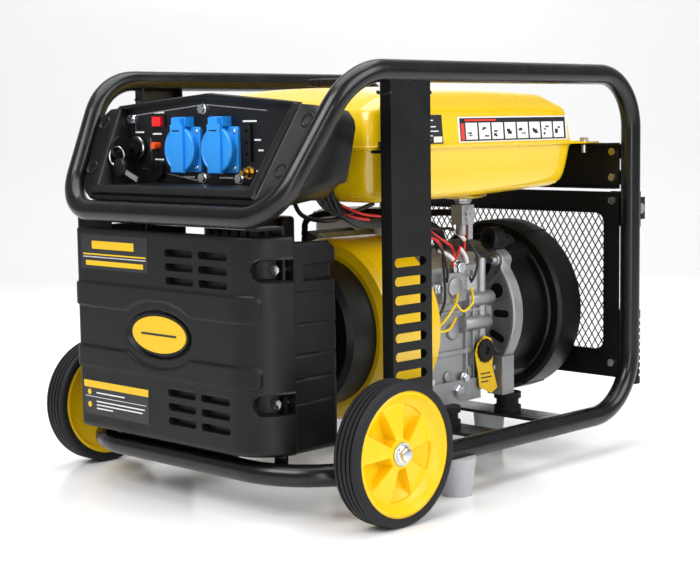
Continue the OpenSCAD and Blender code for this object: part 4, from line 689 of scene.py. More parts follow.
def buildTankStickers():
    sideSticker("rating_label", -80, 388, -35, 420, "labelGrey")
    bm = bmesh.new()
    for z, wide in ((414, 26), (407, 30), (402, 34), (397, 24), (392.5, 20)):
        x = tankSide(z)
        addBox(bm, (x + 0.2, -76, z - 0.6), (x + 0.45, -76 + wide, z + 0.6))
    addBox(bm, (164.9, -51, 389.5), (165.6, -37, 396))
    makePiece("rating_label_rows", bm, "labelWhite")
    sideSticker("steps_label", -8, 388.4, 196, 417.5, "labelWhite", 0.25)
    sideSticker("steps_label_ground", -5, 390, 193, 416, "labelBlack", 0.4)
    sideSticker("steps_label_head", 4, 412.5, 60, 414.6, "labelRed", 0.55)
    sideSticker("steps_label_tab", -3.5, 391, 2.5, 410, "labelRed", 0.55)
    fields = [5 + k * 23.4 for k in range(8)]
    for k, y in enumerate(fields):
        sideSticker("steps_label_field_%d" % k, y, 391.6, y + 20.4, 410.6, "labelWhite", 0.55)
    bm = bmesh.new()
    dice = random.Random(7)
    for y in fields:
        for mark in range(3):
            a, b = y + dice.uniform(2, 10), 392 + dice.uniform(2, 12)
            x = tankSide(b)
            addBox(bm, (x + 0.5, a, b), (x + 0.75, a + dice.uniform(3, 8), b + dice.uniform(1, 3.5)))
    makePiece("steps_label_marks", bm, "labelBlack")


slopeBack, slopeUp = 0.487, 0.8735            # the sloping face runs this far back and up per millimetre


def onSlope(x, s, out):
    # x across, s up the sloping face, out away from it
    return Vector((x, frontY + slopeBack * s - slopeUp * out, panelZ + slopeUp * s + slopeBack * out))


def rayRing(outline, angles, centre):
    # points of a convex outline seen from its centre at each angle
    found = []
    for a in angles:
        d = Vector((math.cos(a), math.sin(a)))
        best = None
        for i in range(len(outline)):
            p, q = Vector(outline[i]) - Vector(centre), Vector(outline[(i + 1) % len(outline)]) - Vector(centre)
            e = q - p
            under = d.x * e.y - d.y * e.x
            if abs(under) < 1e-9:
                continue
            t = (p.x * e.y - p.y * e.x) / under
            k = (p.x * d.y - p.y * d.x) / under
            if t > 0 and -1e-6 <= k <= 1 + 1e-6:
                best = t if best is None else max(best, t)
        found.append(Vector(centre) + d * best)
    return found


panel = {"out": 6.0, "wing": 0.5, "board": [(-126, 348), (126, 348), (142, 432), (0, 442), (-142, 432)],
         "edge": [(-137, 338), (137, 338), (151, 437), (0, 449), (-151, 437)], "rearY": frontY + 124,
         "wells": ((54, 159), (112, 170))}


def shrunk(outline, by):
    # moves each side of a convex outline inwards
    lines = []
    n = len(outline)
    for i in range(n):
        p, q = Vector(outline[i]), Vector(outline[(i + 1) % n])
        d = (q - p).normalized()
        lines.append((p + Vector((-d.y, d.x)) * by, d))
    result = []
    for i in range(n):
        (p, d), (q, e) = lines[i - 1], lines[i]
        t = ((q - p).x * e.y - (q - p).y * e.x) / (d.x * e.y - d.y * e.x)
        result.append(p + d * t)
    return result


def buildHousing():
    out, wing, rear = panel["out"], panel["wing"], panel["rearY"]
    board, frameEdge = ([(x, (z - panelZ - slopeBack * out) / slopeUp) for x, z in panel[part]]
                        for part in ("board", "edge"))
    lowX, arc = 128.4, 41.0
    lower = [(lowX + arc * math.sin(a), 55 - arc * math.cos(a)) for a in (0, 0.35, 0.7, 1.05, 1.4)]
    outer = [(-x, s) for x, s in lower[::-1]] + lower
    outer += [(183, 110), (181, 120), (172, 131), (0, 145), (-172, 131), (-181, 120), (-183, 110)]
    centre = (0, 86)
    angles = sorted(set([round(math.atan2(y - centre[1], x - centre[0]), 4) for x, y in outer + board + frameEdge]
                        + [round(math.tau * k / 48 - math.pi, 4) for k in range(48)]))
    rings = []

    def ring(outline, place):
        rings.append([bm.verts.new(place(p)) for p in rayRing(outline, angles, centre)])
    bm = bmesh.new()
    for wide, tall, back, lowest, drop in ((0.93, 0.98, rear, 350, 5), (0.96, 1.0, rear - 22, 334, 3)):
        ring([(x * wide, s * tall) for x, s in outer],
             lambda p: Vector((p.x, back, max(lowest, onSlope(p.x, p.y, 0).z - drop))))
    for outline, inset, rise in ((outer, 0, -16), (outer, 0, wing - 2.5), (outer, 0.8, wing - 0.8), (outer, 2.6, wing),
                                 (frameEdge, -1.2, wing), (frameEdge, 0, wing + 0.6), (frameEdge, 1.2, out - 1.6),
                                 (frameEdge, 2.8, out), (board, -2.4, out), (board, -0.8, out - 0.8),
                                 (board, 0, out - 2.6)):
        ring(shrunk(outline, inset) if inset else outline, lambda p: onSlope(p.x, p.y, rise))
    ring(board, lambda p: Vector((p.x, boardY, onSlope(p.x, p.y, out).z)))
    loft(bm, rings, cap=False, base=True)
    makePiece("panel_bezel", bm, "panelPlastic", crease=30, stands=("panel_housing",))
    # screw wells in the two side wings
    wellRim = [(-7, 4.2), (1.2, 5.2), (2.6, 6.6), (2.6, 8.0), (1.4, 8.8), (-7, 8.8)]
    for name, look, profile, rise, sides in (("panel_wells", "panelPlastic", wellRim, wing - 1.5, 32),
                                             ("panel_well_floors", "smallBlack", [(-1.2, 4.6), (-1.0, 0)], wing, 24)):
        bm = bmesh.new()
        for side in (-1, 1):
            for s, x in panel["wells"]:
                addLathe(bm, profile, onSlope(side * x, s, rise), onSlope(side * x, s, 20), sides,
                         close=profile is wellRim)
        makePiece(name, bm, look, crease=30 if profile is wellRim else 32)


spareKey = {"x": -120.0, "z": 387.5, "out": 34.0, "hangs": 22.0, "aside": 6.0, "tilt": 22.0, "blade": 34.0}


def buildPanelTrim():
    bm = bmesh.new()
    y = boardY - 0.1
    lines = [[(-126.5, 405), (-129, 424), (-14, 434)], [(0, 434.5), (96, 427)], [(-117, 364), (-20, 351.5)],
             [(78, 351.5), (118, 358), (127, 400)], [(-100, 398), (-100, 372)]]
    for line in lines:
        for p, q in zip(line, line[1:]):
            a, b = Vector((p[0], y, p[1])), Vector((q[0], y, q[1]))
            d = (b - a).normalized() * 0.6
            up = Vector((-d.z, 0, d.x))
            corners = [a - d + up, b + d + up, b + d - up, a - d - up]
            loft(bm, [[bm.verts.new(c + Vector((0, -out, 0))) for c in corners] for out in (0, 0.45)], base=True)
    makePiece("panel_trim", bm, "zincPlate")
    bm = bmesh.new()
    for x, z, w in ((-93, 427, 18), (-96, 403, 16), (-93, 374, 16), (-128, 405, 16), (58, 416, 22), (58, 412, 14),
                    (76, 396, 10), (82, 385, 8), (-44, 355, 20), (18, 355, 22), (78, 363, 9)):
        addBox(bm, (x, y - 0.3, z - 0.9), (x + w, y + 0.05, z + 0.9))
    makePiece("panel_marks", bm, "labelWhite")
    # spare key hanging from the ring of the one in the switch
    keyX, keyZ, ringY = spareKey["x"], spareKey["z"], boardY - spareKey["out"]
    headX, headZ = keyX + spareKey["aside"], keyZ - spareKey["hangs"]
    bm = bmesh.new()
    path = [(keyX + 9 * math.cos(t), ringY + 3.5 * math.cos(t), keyZ - 9 + 11 * math.sin(t)) for t in
            [math.tau * k / 12 for k in range(13)]]
    addWire(bm, path, 0.9, 8, 3)
    tilt = Matrix.Translation((headX, ringY, headZ)) @ Matrix.Rotation(math.radians(spareKey["tilt"]), 4, "Y")
    addBox(bm, (0.5, -0.9, -3.2), (1.0, 0.9, 3.2), tilt)
    addBox(bm, (8, -1, -3.6), (spareKey["blade"], 1, 2.2), tilt)
    makePiece("key_ring", bm, "zincPlate", body="key")
    bm = bmesh.new()
    addLathe(bm, [(0, 13.1), (1.6, 13.1), (2.4, 12.6), (2.4, 11.7), (0, 11.7)], (keyX, boardY - 4, keyZ),
             (keyX, boardY - 40, keyZ), 40, close=True)
    makePiece("key_surround", bm, "zincPlate", crease=30)
    bm = bmesh.new()
    addLathe(bm, [(-3, 0), (-3, 9.6), (-1.6, 11.2), (1.6, 11.2), (3, 9.6), (3, 0)],
             (headX, ringY, headZ), (headX, ringY - 10, headZ), 32)
    makePiece("spare_key_head", bm, "smallBlack", body="key", crease=30)


sockets = {"middles": (-34.5, 28.0), "up": 67.6, "half": 25.0, "hingeUp": 32.0, "hingeOut": 9.0}


def buildSockets():
    z0, half = panelZ + sockets["up"], sockets["half"]
    hingeY, hingeZ = boardY - sockets["hingeOut"], z0 + sockets["hingeUp"]
    for index, x in enumerate(sockets["middles"]):
        word = "left" if index == 0 else "right"
        bm = bmesh.new()
        loft(bm, [[bm.verts.new((x + u * k / half, boardY - out, z0 + v * k / half))
                   for u, v in roundedRect(half, half, 4, 5)]
                  for k, out in ((half, 0), (half, 3.2), (half - 0.5, 3.8), (half - 1.2, 4.0))], base=True)
        addLathe(bm, [(0, 23.2), (4.6, 23.2), (5.2, 22.6), (5.2, 19.6), (0, 19.6)], (x, boardY - 3.6, z0),
                 (x, boardY - 20, z0), 64, close=True)
        addLathe(bm, [(0, 20.4), (-33, 20.4)], (x, boardY + 0.4, z0), (x, boardY - 10, z0), 48)
        for s in (-1, 1):
            addBox(bm, (x + s * 9.5 - 1.5, boardY - 12.5, z0 + 25.4), (x + s * 9.5 + 1.5, boardY, z0 + 36))
        addBox(bm, (x - 9, boardY - 3, z0 + 24), (x + 9, boardY, z0 + 35))
        addRod(bm, (x - 10, hingeY, hingeZ), (x + 10, hingeY, hingeZ), 1.5, 16)
        makePiece("socket_frame_" + word, bm, "socketBlue", crease=34,
                  stands=("socket_bodies",) if index == 0 else ())
        bm = bmesh.new()
        for sx in (-1, 1):
            for sz in (-1, 1):
                addCrossScrew(bm, (x + sx * 20, boardY - 4, z0 + sz * 20), (0, -1, 0), 2.5)
        makePiece("socket_screws_" + word, bm, "zincPlate")
        bm = bmesh.new()
        face = boardY - 14
        addLathe(bm, [(0, 25.2), (2.0, 25.5), (3.6, 25.2), (4.6, 24.2), (4.9, 22.6), (4.2, 21.8), (4.2, 0)],
                 (x, face + 4.6, z0), (x, face - 10, z0), 72)
        band = [(-10.5, -25.5), (10.5, -25.5), (10.5, 27.5), (-10.5, 27.5)]
        loft(bm, [[bm.verts.new((x + u * wide, face + y, z0 + v * tall)) for u, v in band]
                  for wide, tall, y in ((1, 1, 1.0), (1, 1, -2.7), (0.92, 0.965, -3.5))], base=True)
        addBox(bm, (x - 7.5, face - 3.4, z0 + 24), (x + 7.5, hingeY, z0 + 34.8))
        addRod(bm, (x - 7.5, hingeY, hingeZ), (x + 7.5, hingeY, hingeZ), 4, 28)
        makePiece("socket_flap_" + word, bm, "socketBlue", body="lid_" + word, crease=34,
                  stands=("socket_lid_" + word,))
        bm = bmesh.new()
        addBox(bm, (x - 5, boardY - 13.2, z0 + 31.0), (x + 5, boardY - 12.6, z0 + 33.4))
        addBox(bm, (x - 6, face - 3.9, z0 + 20.2), (x + 6, face - 3.35, z0 + 21.4))
        makePiece("socket_slot_" + word, bm, "smallBlack", body="lid_" + word)


def nodeGroup(name, wanted):
    tree = bpy.data.node_groups.new(name, "GeometryNodeTree")
    tree.interface.new_socket("Geometry", in_out="INPUT", socket_type="NodeSocketGeometry")
    for label, kind in wanted:
        tree.interface.new_socket(label, in_out="INPUT", socket_type=kind)
    tree.interface.new_socket("Geometry", in_out="OUTPUT", socket_type="NodeSocketGeometry")
    return tree, tree.nodes.new("NodeGroupInput"), tree.nodes.new("NodeGroupOutput")


def repeatPiece(name, unit, values, look, body="machine", stands=()):
    # copies one unit over a grid of columns and rows, then keeps the result as a plain mesh
    wanted = [("Unit", "NodeSocketObject"), ("Width", "NodeSocketFloat"), ("Height", "NodeSocketFloat"),
              ("Columns", "NodeSocketInt"), ("Rows", "NodeSocketInt"), ("Finish", "NodeSocketMaterial")]
    tree, start, end = nodeGroup(name + "_grid", wanted)
    grid = put(tree, "GeometryNodeMeshGrid", {"Size X": start.outputs["Width"], "Size Y": start.outputs["Height"],
               "Vertices X": start.outputs["Columns"], "Vertices Y": start.outputs["Rows"]})
    unitNode = put(tree, "GeometryNodeObjectInfo", {"Object": start.outputs["Unit"]})
    spreadOut = put(tree, "GeometryNodeInstanceOnPoints", {"Points": grid.outputs["Mesh"],
                    "Instance": unitNode.outputs["Geometry"]})
    real = put(tree, "GeometryNodeRealizeInstances", {"Geometry": spreadOut.outputs["Instances"]})
    painted = put(tree, "GeometryNodeSetMaterial", {"Geometry": real.outputs["Geometry"],
                  "Material": start.outputs["Finish"]})
    tree.links.new(painted.outputs["Geometry"], end.inputs["Geometry"])
    holder = bpy.data.objects.new(name, bpy.data.meshes.new(name))
    bpy.context.collection.objects.link(holder)
    maker = holder.modifiers.new("grid", "NODES")
    maker.node_group = tree
    values = dict(values, Unit=unit, Finish=looks[look])
    for item in tree.interface.items_tree:
        if item.in_out == "INPUT" and item.name in values:
            maker[item.identifier] = values[item.name]
    holder.update_tag()
    mesh = bpy.data.meshes.new_from_object(holder.evaluated_get(bpy.context.evaluated_depsgraph_get()))
    holder.modifiers.remove(maker)
    bpy.data.objects.remove(unit)
    for corner in mesh.vertices:
        x, y, z = corner.co
        corner.co = (x + values["Centre"][0] * mm, values["Centre"][1] * mm + z, y + values["Centre"][2] * mm)
    mesh.flip_normals()
    holder.data = mesh
    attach(holder, body)
    if stands:
        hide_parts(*stands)


meshGrid = {"pitchX": 10.0, "pitchZ": 15.0, "strand": 0.55, "left": -173.0, "right": 173.0, "low": 118.0,
            "high": 299.0}


def buildRearMesh():
    columns = round((meshGrid["right"] - meshGrid["left"]) / meshGrid["pitchX"])
    rows = round((meshGrid["high"] - meshGrid["low"]) / meshGrid["pitchZ"])
    px, pz = (meshGrid["right"] - meshGrid["left"]) / columns, (meshGrid["high"] - meshGrid["low"]) / rows
    bm = bmesh.new()
    t = meshGrid["strand"]
    for su, sv in ((1, 1), (-1, 1), (-1, -1), (1, -1)):
        a, b = Vector((su * px / 2, 0, 0)), Vector((0, sv * pz / 2, 0))
        side = Vector(((b - a).y, -(b - a).x, 0)).normalized() * t
        loft(bm, [[bm.verts.new((p + Vector((0, 0, out))) * mm) for p in (a + side, b + side, b - side, a - side)]
                  for out in (0, 1.0)], base=True)
    bmesh.ops.recalc_face_normals(bm, faces=bm.faces)
    mesh = bpy.data.meshes.new("strandUnit")
    bm.to_mesh(mesh)
    bm.free()
    unit = bpy.data.objects.new("strandUnit", mesh)
    middle = ((meshGrid["left"] + meshGrid["right"]) / 2, boxEdges("expanded_mesh")[0][1] + 0.1,
              (meshGrid["low"] + meshGrid["high"]) / 2)
    repeatPiece("rear_mesh", unit, {"Width": px * (columns - 1) * mm, "Height": pz * (rows - 1) * mm,
                "Columns": columns, "Rows": rows, "Centre": middle}, "satinPaint", stands=("expanded_mesh",))
    print("rear mesh made,", columns * rows, "units")


crankX, crankZ = 36.0, 174.0                  # the crankshaft's centre line
caseRight = 94.0                              # right face of the crankcase


def buildEngineDetails():
    bm = bmesh.new()
    r = caseRight
    # foot rail, parting flanges, corner column and bosses on the right face of the crankcase
    addBox(bm, (r - 4, 0, 84), (r + 6, 118, 92))
    addBox(bm, (r - 4, -6, 131), (r + 3.5, 122, 137))
    addBox(bm, (r - 4, 20, 181), (r + 3.0, 122, 185.5))
    for y in (-4, 116):
        addRod(bm, (r - 1, y, 92), (r - 1, y, 246), 6.5, 20, 1.5)
    for z0, y0 in ((196, 84), (167, 78)):
        # two long bosses that reach back to the alternator's bracket
        addRod(bm, (r + 2, y0, z0), (r + 2, y0 + 48, z0), 9.0, 28, 1.5)
        addRod(bm, (r + 2, y0 - 4, z0), (r + 2, y0, z0), 10.5, 28, 1.2)
    for y0, z0, rad in ((14, 104, 8), (50, 106, 7), (88, 108, 7), (60, 160, 10), (24, 160, 7), (30, 214, 8)):
        addRod(bm, (r - 3, y0, z0), (r + 4, y0, z0), rad, 24, 1.2)
    for y0 in (84, 98):
        addBox(bm, (r - 3, y0 - 2, 98), (r + 4, y0 + 2, 232))
    addBox(bm, (r - 3, 34, 196), (r + 8, 80, 232))
    addRod(bm, (r - 3, 57, 214), (r + 11, 57, 214), 13, 28, 2)
    makePiece("crankcase_relief", bm, "castAlloy", crease=35, bevel=0.9)
    bm = bmesh.new()
    for y0, z0, size in ((62, 88, 9), (77, 102, 6), (14, 104, 5.5), (24, 160, 5), (67, 238, 8.5), (30, 214, 5.5)):
        addHexBolt(bm, (r + 5, y0, z0), (1, 0, 0), size)
    addBox(bm, (r, 76, 210), (r + 12, 92, 226))
    makePiece("crankcase_bolts", bm, "zincPlate", crease=30)
    # oil filler tag and the dipstick's ribbed knob
    bm = bmesh.new()
    outline = [(98, 142), (112, 150), (124, 146), (128, 136), (124, 112), (132, 84), (120, 78), (98, 88), (96, 108),
               (92, 130)]
    addPrism(bm, outline, lambda y, z, w: (r + 8 + w + (150 - z) * 0.05, y, z), 0, 0.9)
    makePiece("filler_tag", bm, "labelYellow")
    bm = bmesh.new()
    for z, w in ((104, 18), (99, 20), (94, 14), (120, 10)):
        addBox(bm, (r + 8.6 + (150 - z) * 0.05, 101, z - 0.8), (r + 9.2 + (150 - z) * 0.05, 101 + w, z + 0.8))
    makePiece("filler_tag_marks", bm, "labelBlack")
    bm = bmesh.new()
    at = (r + 0.2, 110.75, 132)
    addLathe(bm, [(0, 11), (4.6, 11), (5, 13.2), (6, 14), (12.6, 14), (13.8, 13), (13.8, 5), (10.5, 3), (10.5, 0)], at,
             (r + 30, at[1], at[2]), 40)
    for k in range(14):
        a = math.tau * k / 14
        y, z = at[1] + 13.4 * math.cos(a), at[2] + 13.4 * math.sin(a)
        addRod(bm, (r + 6, y, z), (r + 13, y, z), 1.5, 10)
    addRod(bm, (r - 36, at[1], at[2]), (r + 1, at[1], at[2]), 3, 16)
    makePiece("dipstick_knob", bm, "smallBlack", body="oil_stick", crease=34, stands=("dipstick",))


def buildWires():
    runs = {
        "wireRed": [
            [(106, -24, 286), (118, 4, 276), (112, 24, 262), (116, 40, 250), (108, 60, 264)],
            [(106, 50, 300), (113, 58, 284), (110, 66, 268), (104, 70, 250)],
            [(104, -4, 296), (112, 12, 280), (118, 26, 270), (110, 44, 262), (104, 52, 240)],
        ],
        "wireYellow": [
            [(104, 60, 206), (114, 44, 196), (116, 24, 180), (108, 14, 166), (110, 36, 166), (104, 56, 178)],
            [(104, 84, 214), (114, 76, 196), (112, 60, 186), (104, 52, 200)],
        ],
        "wireBlack": [
            [(104, -60, 300), (114, -24, 294), (116, 8, 288), (112, 40, 286), (108, 62, 272), (102, 72, 250)],
            [(104, -50, 296), (116, -14, 288), (114, 18, 270), (108, 30, 240), (106, 34, 200), (102, 22, 176)],
            [(104, 80, 270), (112, 88, 248), (110, 84, 226), (100, 82, 214)],
            [(106, 4, 284), (118, 16, 262), (114, 30, 236), (104, 40, 222)],
        ],
        "wireWhite": [
            [(108, 20, 262), (115, 30, 256), (116, 38, 250)],
            [(108, 60, 262), (113, 64, 252), (112, 68, 244)],
            [(110, 44, 284), (114, 54, 278), (113, 62, 272)],
        ],
    }
    for look, paths in runs.items():
        bm = bmesh.new()
        for path in paths:
            addWire(bm, path, 2.6 if look == "wireWhite" else 1.7, 9, 7)
        makePiece(look + "_leads", bm, look, crease=60)
    # leads under the control panel: four black leads, a thicker black one and two red ones
    bm = bmesh.new()
    for k, (y0, z0) in enumerate(((-172, 342), (-166, 340), (-160, 342), (-154, 344))):
        addWire(bm, [(96 + 3 * k, y0, z0), (104 + 2 * k, y0 + 8, 322 - 2 * k), (112, y0 + 36, 308 - 3 * k),
                     (112 + k, y0 + 74, 303 - 2 * k), (108, y0 + 112, 302)], 2.3, 9, 7)
    addWire(bm, [(60, -170, 336), (74, -168, 312), (100, -150, 306), (112, -120, 316), (108, -90, 322)], 2.6, 9, 7)
    makePiece("panel_leads", bm, "wireBlack", crease=60)
    bm = bmesh.new()
    addWire(bm, [(100, -150, 318), (112, -128, 309), (115, -104, 305)], 1.9, 9, 7)
    addWire(bm, [(104, -146, 326), (116, -120, 313), (117, -88, 308)], 1.6, 9, 7)
    makePiece("panel_lead_red", bm, "wireRed", crease=60)


def lobedRing(radius, lobe, angles, count=144):
    # a circle with rounded ears at the given angles, in degrees
    points = []
    for k in range(count):
        a = math.tau * k / count
        near = min(abs((math.degrees(a) - e + 180) % 360 - 180) for e in angles)
        points.append((a, radius + lobe * (1 - smooth(2.6, near - 6.5))))
    return points


alternator = {"front": 124.75, "mid": 158.75, "radius": 87.0, "ears": (48, 132, 228, 312), "lobe": 11.0,
              "slots": 14, "face": 145.0, "hub": 44.0}


def buildAlternatorParts():
    front, mid, r = alternator["front"], alternator["mid"], alternator["radius"]
    face, hub = alternator["face"], alternator["hub"]

    def at(a, radius, y):
        return (crankX + radius * math.cos(a), y, crankZ + radius * math.sin(a))
    bm = bmesh.new()
    outline = lobedRing(r, alternator["lobe"], alternator["ears"])
    def ring(points, y, grow=0.0, fixed=None):
        return [bm.verts.new(at(a, fixed or lobed + grow, y)) for a, lobed in points]
    rings = [ring(outline, y, fixed=radius) for radius, y in
             ((hub - 8, front), (hub, front), (hub + 2, face - 4), (hub + 7, face))]
    rings += [ring(outline, y, grow) for grow, y in
              ((-7, face), (-5, face - 0.6), (-3.6, face - 3.4), (-2.0, face - 4), (1.6, face - 4), (3.0, face - 2.6),
               (3.0, mid - 0.4), (2.4, mid), (-7, mid))]
    rings += [ring(outline, face + 6, fixed=radius) for radius in (r - 7, hub - 8)]
    loft(bm, rings + [rings[0]], cap=False)
    for x in (-28, 100):
        addBox(bm, (x - 12, mid - 24, 74), (x + 12, mid - 1, 122))
    for e in alternator["ears"]:
        x, y, z = at(math.radians(e), r + 3, face)
        addRod(bm, (x, face - 7, z), (x, face + 8, z), 7.5, 28, 1.2)
    for k in range(alternator["slots"]):
        a = math.tau * (k + 0.5) / alternator["slots"]
        turn = Matrix.Translation((crankX, face, crankZ)) @ Matrix.Rotation(-a, 4, "Y")
        addBox(bm, (hub + 1, -2.4, -1.5), (r - 6, 3, 1.5), turn)
    makePiece("alternator_bracket", bm, "castAlloy", crease=34, bevel=0.6, stands=("alternator_bell",))
    # painted shade: flat black patches on the bracket's face stand in for the shaded openings of its slots and one
    # round window
    bm = bmesh.new()
    for k in range(alternator["slots"]):
        a = -math.tau * k / alternator["slots"]
        turn = Matrix.Translation((crankX, face - 0.35, crankZ)) @ Matrix.Rotation(a, 4, "Y")
        window = roundedRect(9.5, 9.4, 9.3, 5) if k == 1 else roundedRect(12, 4.6, 4.5, 5)
        addPrism(bm, window, lambda u, v, w: turn @ Vector((66 + u, w, v)), 0.6, 0)
    makePiece("bracket_windows", bm, "smallBlack")
    bm = bmesh.new()
    for e in alternator["ears"]:
        x, y, z = at(math.radians(e), r + 3, face)
        addHexBolt(bm, (x, face - 7, z), (0, -1, 0), 5.2)
    makePiece("bracket_bolts", bm, "zincPlate")
    # lumps pressed into the dark shell at four corners, a bead and the deep rear ring's lip
    bm = bmesh.new()
    lumps = lobedRing(r - 1.5, 13.0, (55, 125, 235, 305), 180)
    loft(bm, [ring(lumps, mid + back, grow) for grow, back in
              ((-3, 0.2), (0, 2), (0.4, 44), (0.4, 47.4), (-3, 47.6))], base=True)
    addLathe(bm, [(45.5, r), (45.5, r + 7), (47.8, r + 9), (47.8, r)], (crankX, mid, crankZ), (crankX, 400, crankZ),
             96, close=True)
    makePiece("end_cover_shell", bm, "shellPaint", crease=34)
    bm = bmesh.new()
    for turn in (62, -62):
        spot = Matrix.Translation((crankX, 0, crankZ)) @ Matrix.Rotation(-math.radians(turn), 4, "Y")
        addBox(bm, (106, 206.4, -1.2), (111.9, 249.7, 1.2), spot)
    makePiece("end_cover_seams", bm, "shellPaint", crease=34, bevel=0.5)
    bm = bmesh.new()
    addLathe(bm, [(0, 14), (16, 14), (18, 12), (18, 7), (9, 6), (9, 0)], (92, 150, 268), (92, 100, 268), 32)
    addRod(bm, (92, 150, 262), (92, 172, 262), 10, 24, 2)
    makePiece("lead_gland", bm, "smallBlack", crease=34)


def buildFrameDetails():
    # weld beads where the tubes meet the posts
    bm = bmesh.new()
    dice = random.Random(3)
    for side in (-1, 1):
        for y in (-171.25, -109.25):
            for z, up in ((442, -1), (62, 1)):
                for k in range(9):
                    t = k / 8
                    x = side * (194.5 + 17 * t)
                    bmesh.ops.create_icosphere(bm, subdivisions=1, radius=2.0 + dice.uniform(-0.3, 0.6),
                                               matrix=Matrix.Translation((x, y, z + up * (-2 + 2 * math.sin(3 * t)))))
    makePiece("weld_beads", bm, "powderCoat", crease=80)
    # the fuel tap's body
    bm = bmesh.new()
    tap = boxEdges("fuel_tap")
    y0, z0 = (tap[0][1] + tap[1][1]) / 2, 325.0
    addLathe(bm, [(0, 10.5), (6, 10.5), (7, 9.4), (9, 9.2), (10, 7), (14, 7)], (128, y0, z0 + 0.5), (128, y0, 200), 6)
    addBox(bm, (119, y0 - 11, z0 - 33), (136, y0 + 11, z0 - 10))
    addRod(bm, (128, y0, z0 - 46), (128, y0, z0 - 32), 8.5, 28, 2)
    addRod(bm, (112.4, y0, z0 - 20), (121, y0, z0 - 20), 3.6, 18, 0.8)
    addRod(bm, (134, y0, z0 - 20), (143, y0, z0 - 20), 3, 18, 0.6)
    makePiece("fuel_tap_body", bm, "castAlloy", crease=34, bevel=1.0, stands=("fuel_tap",))


def roundedBlock(bm, low, high, radius, steps=5, ease=2.0):
    # box with round upright edges and eased top and bottom edges
    cx, cy = (low[0] + high[0]) / 2, (low[1] + high[1]) / 2
    hx, hy = (high[0] - low[0]) / 2, (high[1] - low[1]) / 2
    rings = []
    for inset, z in ((ease, low[2]), (ease * 0.3, low[2] + ease * 0.3), (0, low[2] + ease), (0, high[2] - ease),
                     (ease * 0.3, high[2] - ease * 0.3), (ease, high[2])):
        outline = roundedRect(hx - inset, hy - inset, max(0.5, radius - inset), steps)
        rings.append([bm.verts.new((cx + u, cy + v, z)) for u, v in outline])
    loft(bm, rings, base=True)


def buildFarSide():
    low, high = boxEdges("muffler")
    bm = bmesh.new()
    roundedBlock(bm, (-188, 100.75, 200), (-70, 186.75, 298), 16, 6, 7)
    roundedBlock(bm, (-191, 97.75, 246), (-68, 189.75, 250), 18, 6, 1.2)
    addRod(bm, (-168, 180, 274), (-168, high[1], 274), 10, 32)
    addRod(bm, (-72, 143, 238.4), (high[0], 143, 238.4), 13, 32, 2)
    for k in range(6):
        addBox(bm, (-189.6, 112 + 11 * k, 262), (-187, 117 + 11 * k, 288))
    makePiece("silencer_box", bm, "mufflerSteel", crease=34, stands=("muffler",))
    bm = bmesh.new()
    for y in (110, 178):
        for z in (208, 290):
            addHexBolt(bm, (-188, y, z), (-1, 0, 0), 4.2)
    makePiece("silencer_bolts", bm, "zincPlate")
    low, high = boxEdges("air_cleaner")
    bm = bmesh.new()
    roundedBlock(bm, (low[0], low[1], low[2]), (high[0], high[1] - 26, high[2]), 12, 6, 5)
    roundedBlock(bm, (low[0], high[1] - 24.5, low[2]), (high[0], high[1], high[2]), 9, 6, 4)
    addBox(bm, (low[0] + 8, high[1] - 28, low[2] + 8), (high[0] - 8, high[1] - 20, high[2] - 8))
    for k in range(5):
        addBox(bm, (low[0] + 18 + 17 * k, low[1], low[2] + 14), (low[0] + 24 + 17 * k, low[1] + 4, high[2] - 14))
    makePiece("filter_box", bm, "panelPlastic", crease=34, bevel=0.8, stands=("air_cleaner",))
    bm = bmesh.new()
    for x in (low[0] + 22, high[0] - 22):
        addBox(bm, (x - 7, high[1] - 34, high[2] - 1), (x + 7, high[1] - 16, high[2] - 0.1))
    makePiece("filter_clips", bm, "zincPlate", bevel=0.3)
    low, high = boxEdges("battery")
    top = high[2] - 10
    bm = bmesh.new()
    roundedBlock(bm, (low[0], low[1], low[2]), (high[0], high[1], top - 22), 5, 4, 2)
    roundedBlock(bm, (low[0] + 1.5, low[1] + 1.5, top - 21), (high[0] - 1.5, high[1] - 1.5, top), 5, 4, 2)
    addBox(bm, (low[0] + 6, low[1] + 6, top - 24), (high[0] - 6, high[1] - 6, top - 18))
    makePiece("battery_case", bm, "smallBlack", crease=34, stands=("battery",))
    bm = bmesh.new()
    for x in (low[0] + 22, high[0] - 22):
        addBox(bm, (x - 7, low[1] + 8, top - 0.5), (x + 7, low[1] + 22, top + 10))
        addHexBolt(bm, (x, low[1] + 8, top + 5), (0, -1, 0), 2.6)
    makePiece("battery_posts", bm, "zincPlate", bevel=0.5)
    low, high = boxEdges("fuel_cap")
    cx, cy = (low[0] + high[0]) / 2, (low[1] + high[1]) / 2
    r, h = (high[0] - low[0]) / 2 - 2, high[2] - low[2]
    bm = bmesh.new()
    addLathe(bm, [(0, 24.6), (0, r - 0.4), (0.6, r), (h - 1.6, r), (h - 0.4, r - 1.4), (h - 0.1, r - 4),
                  (h - 1.2, r - 6), (h - 1.2, 6), (h - 0.4, 5), (h - 0.4, 0)],
             (cx, cy, low[2]), (cx, cy, high[2] + 40), 72)
    for k in range(24):
        a = math.tau * k / 24
        x, y = cx + r * math.cos(a), cy + r * math.sin(a)
        addRod(bm, (x, y, low[2] + 0.8), (x, y, low[2] + h - 1.2), 1.7, 10, 0.5)
    makePiece("filler_cap", bm, "smallBlack", body="cap", crease=34, stands=("fuel_cap",))
    print("far side made")


buildCover()
buildCoverTrim()
for side in (1, -1):
    buildRim(side)
    buildTyre(side)
buildTank()
buildTankStickers()
buildHousing()
buildPanelTrim()
buildSockets()
buildRearMesh()
buildEngineDetails()
buildWires()
buildAlternatorParts()
buildFrameDetails()
buildFarSide()
print("pieces built")


stageSize = {"floor": 9.0, "wallStart": 2.2, "sweep": 1.2, "height": 3.5}


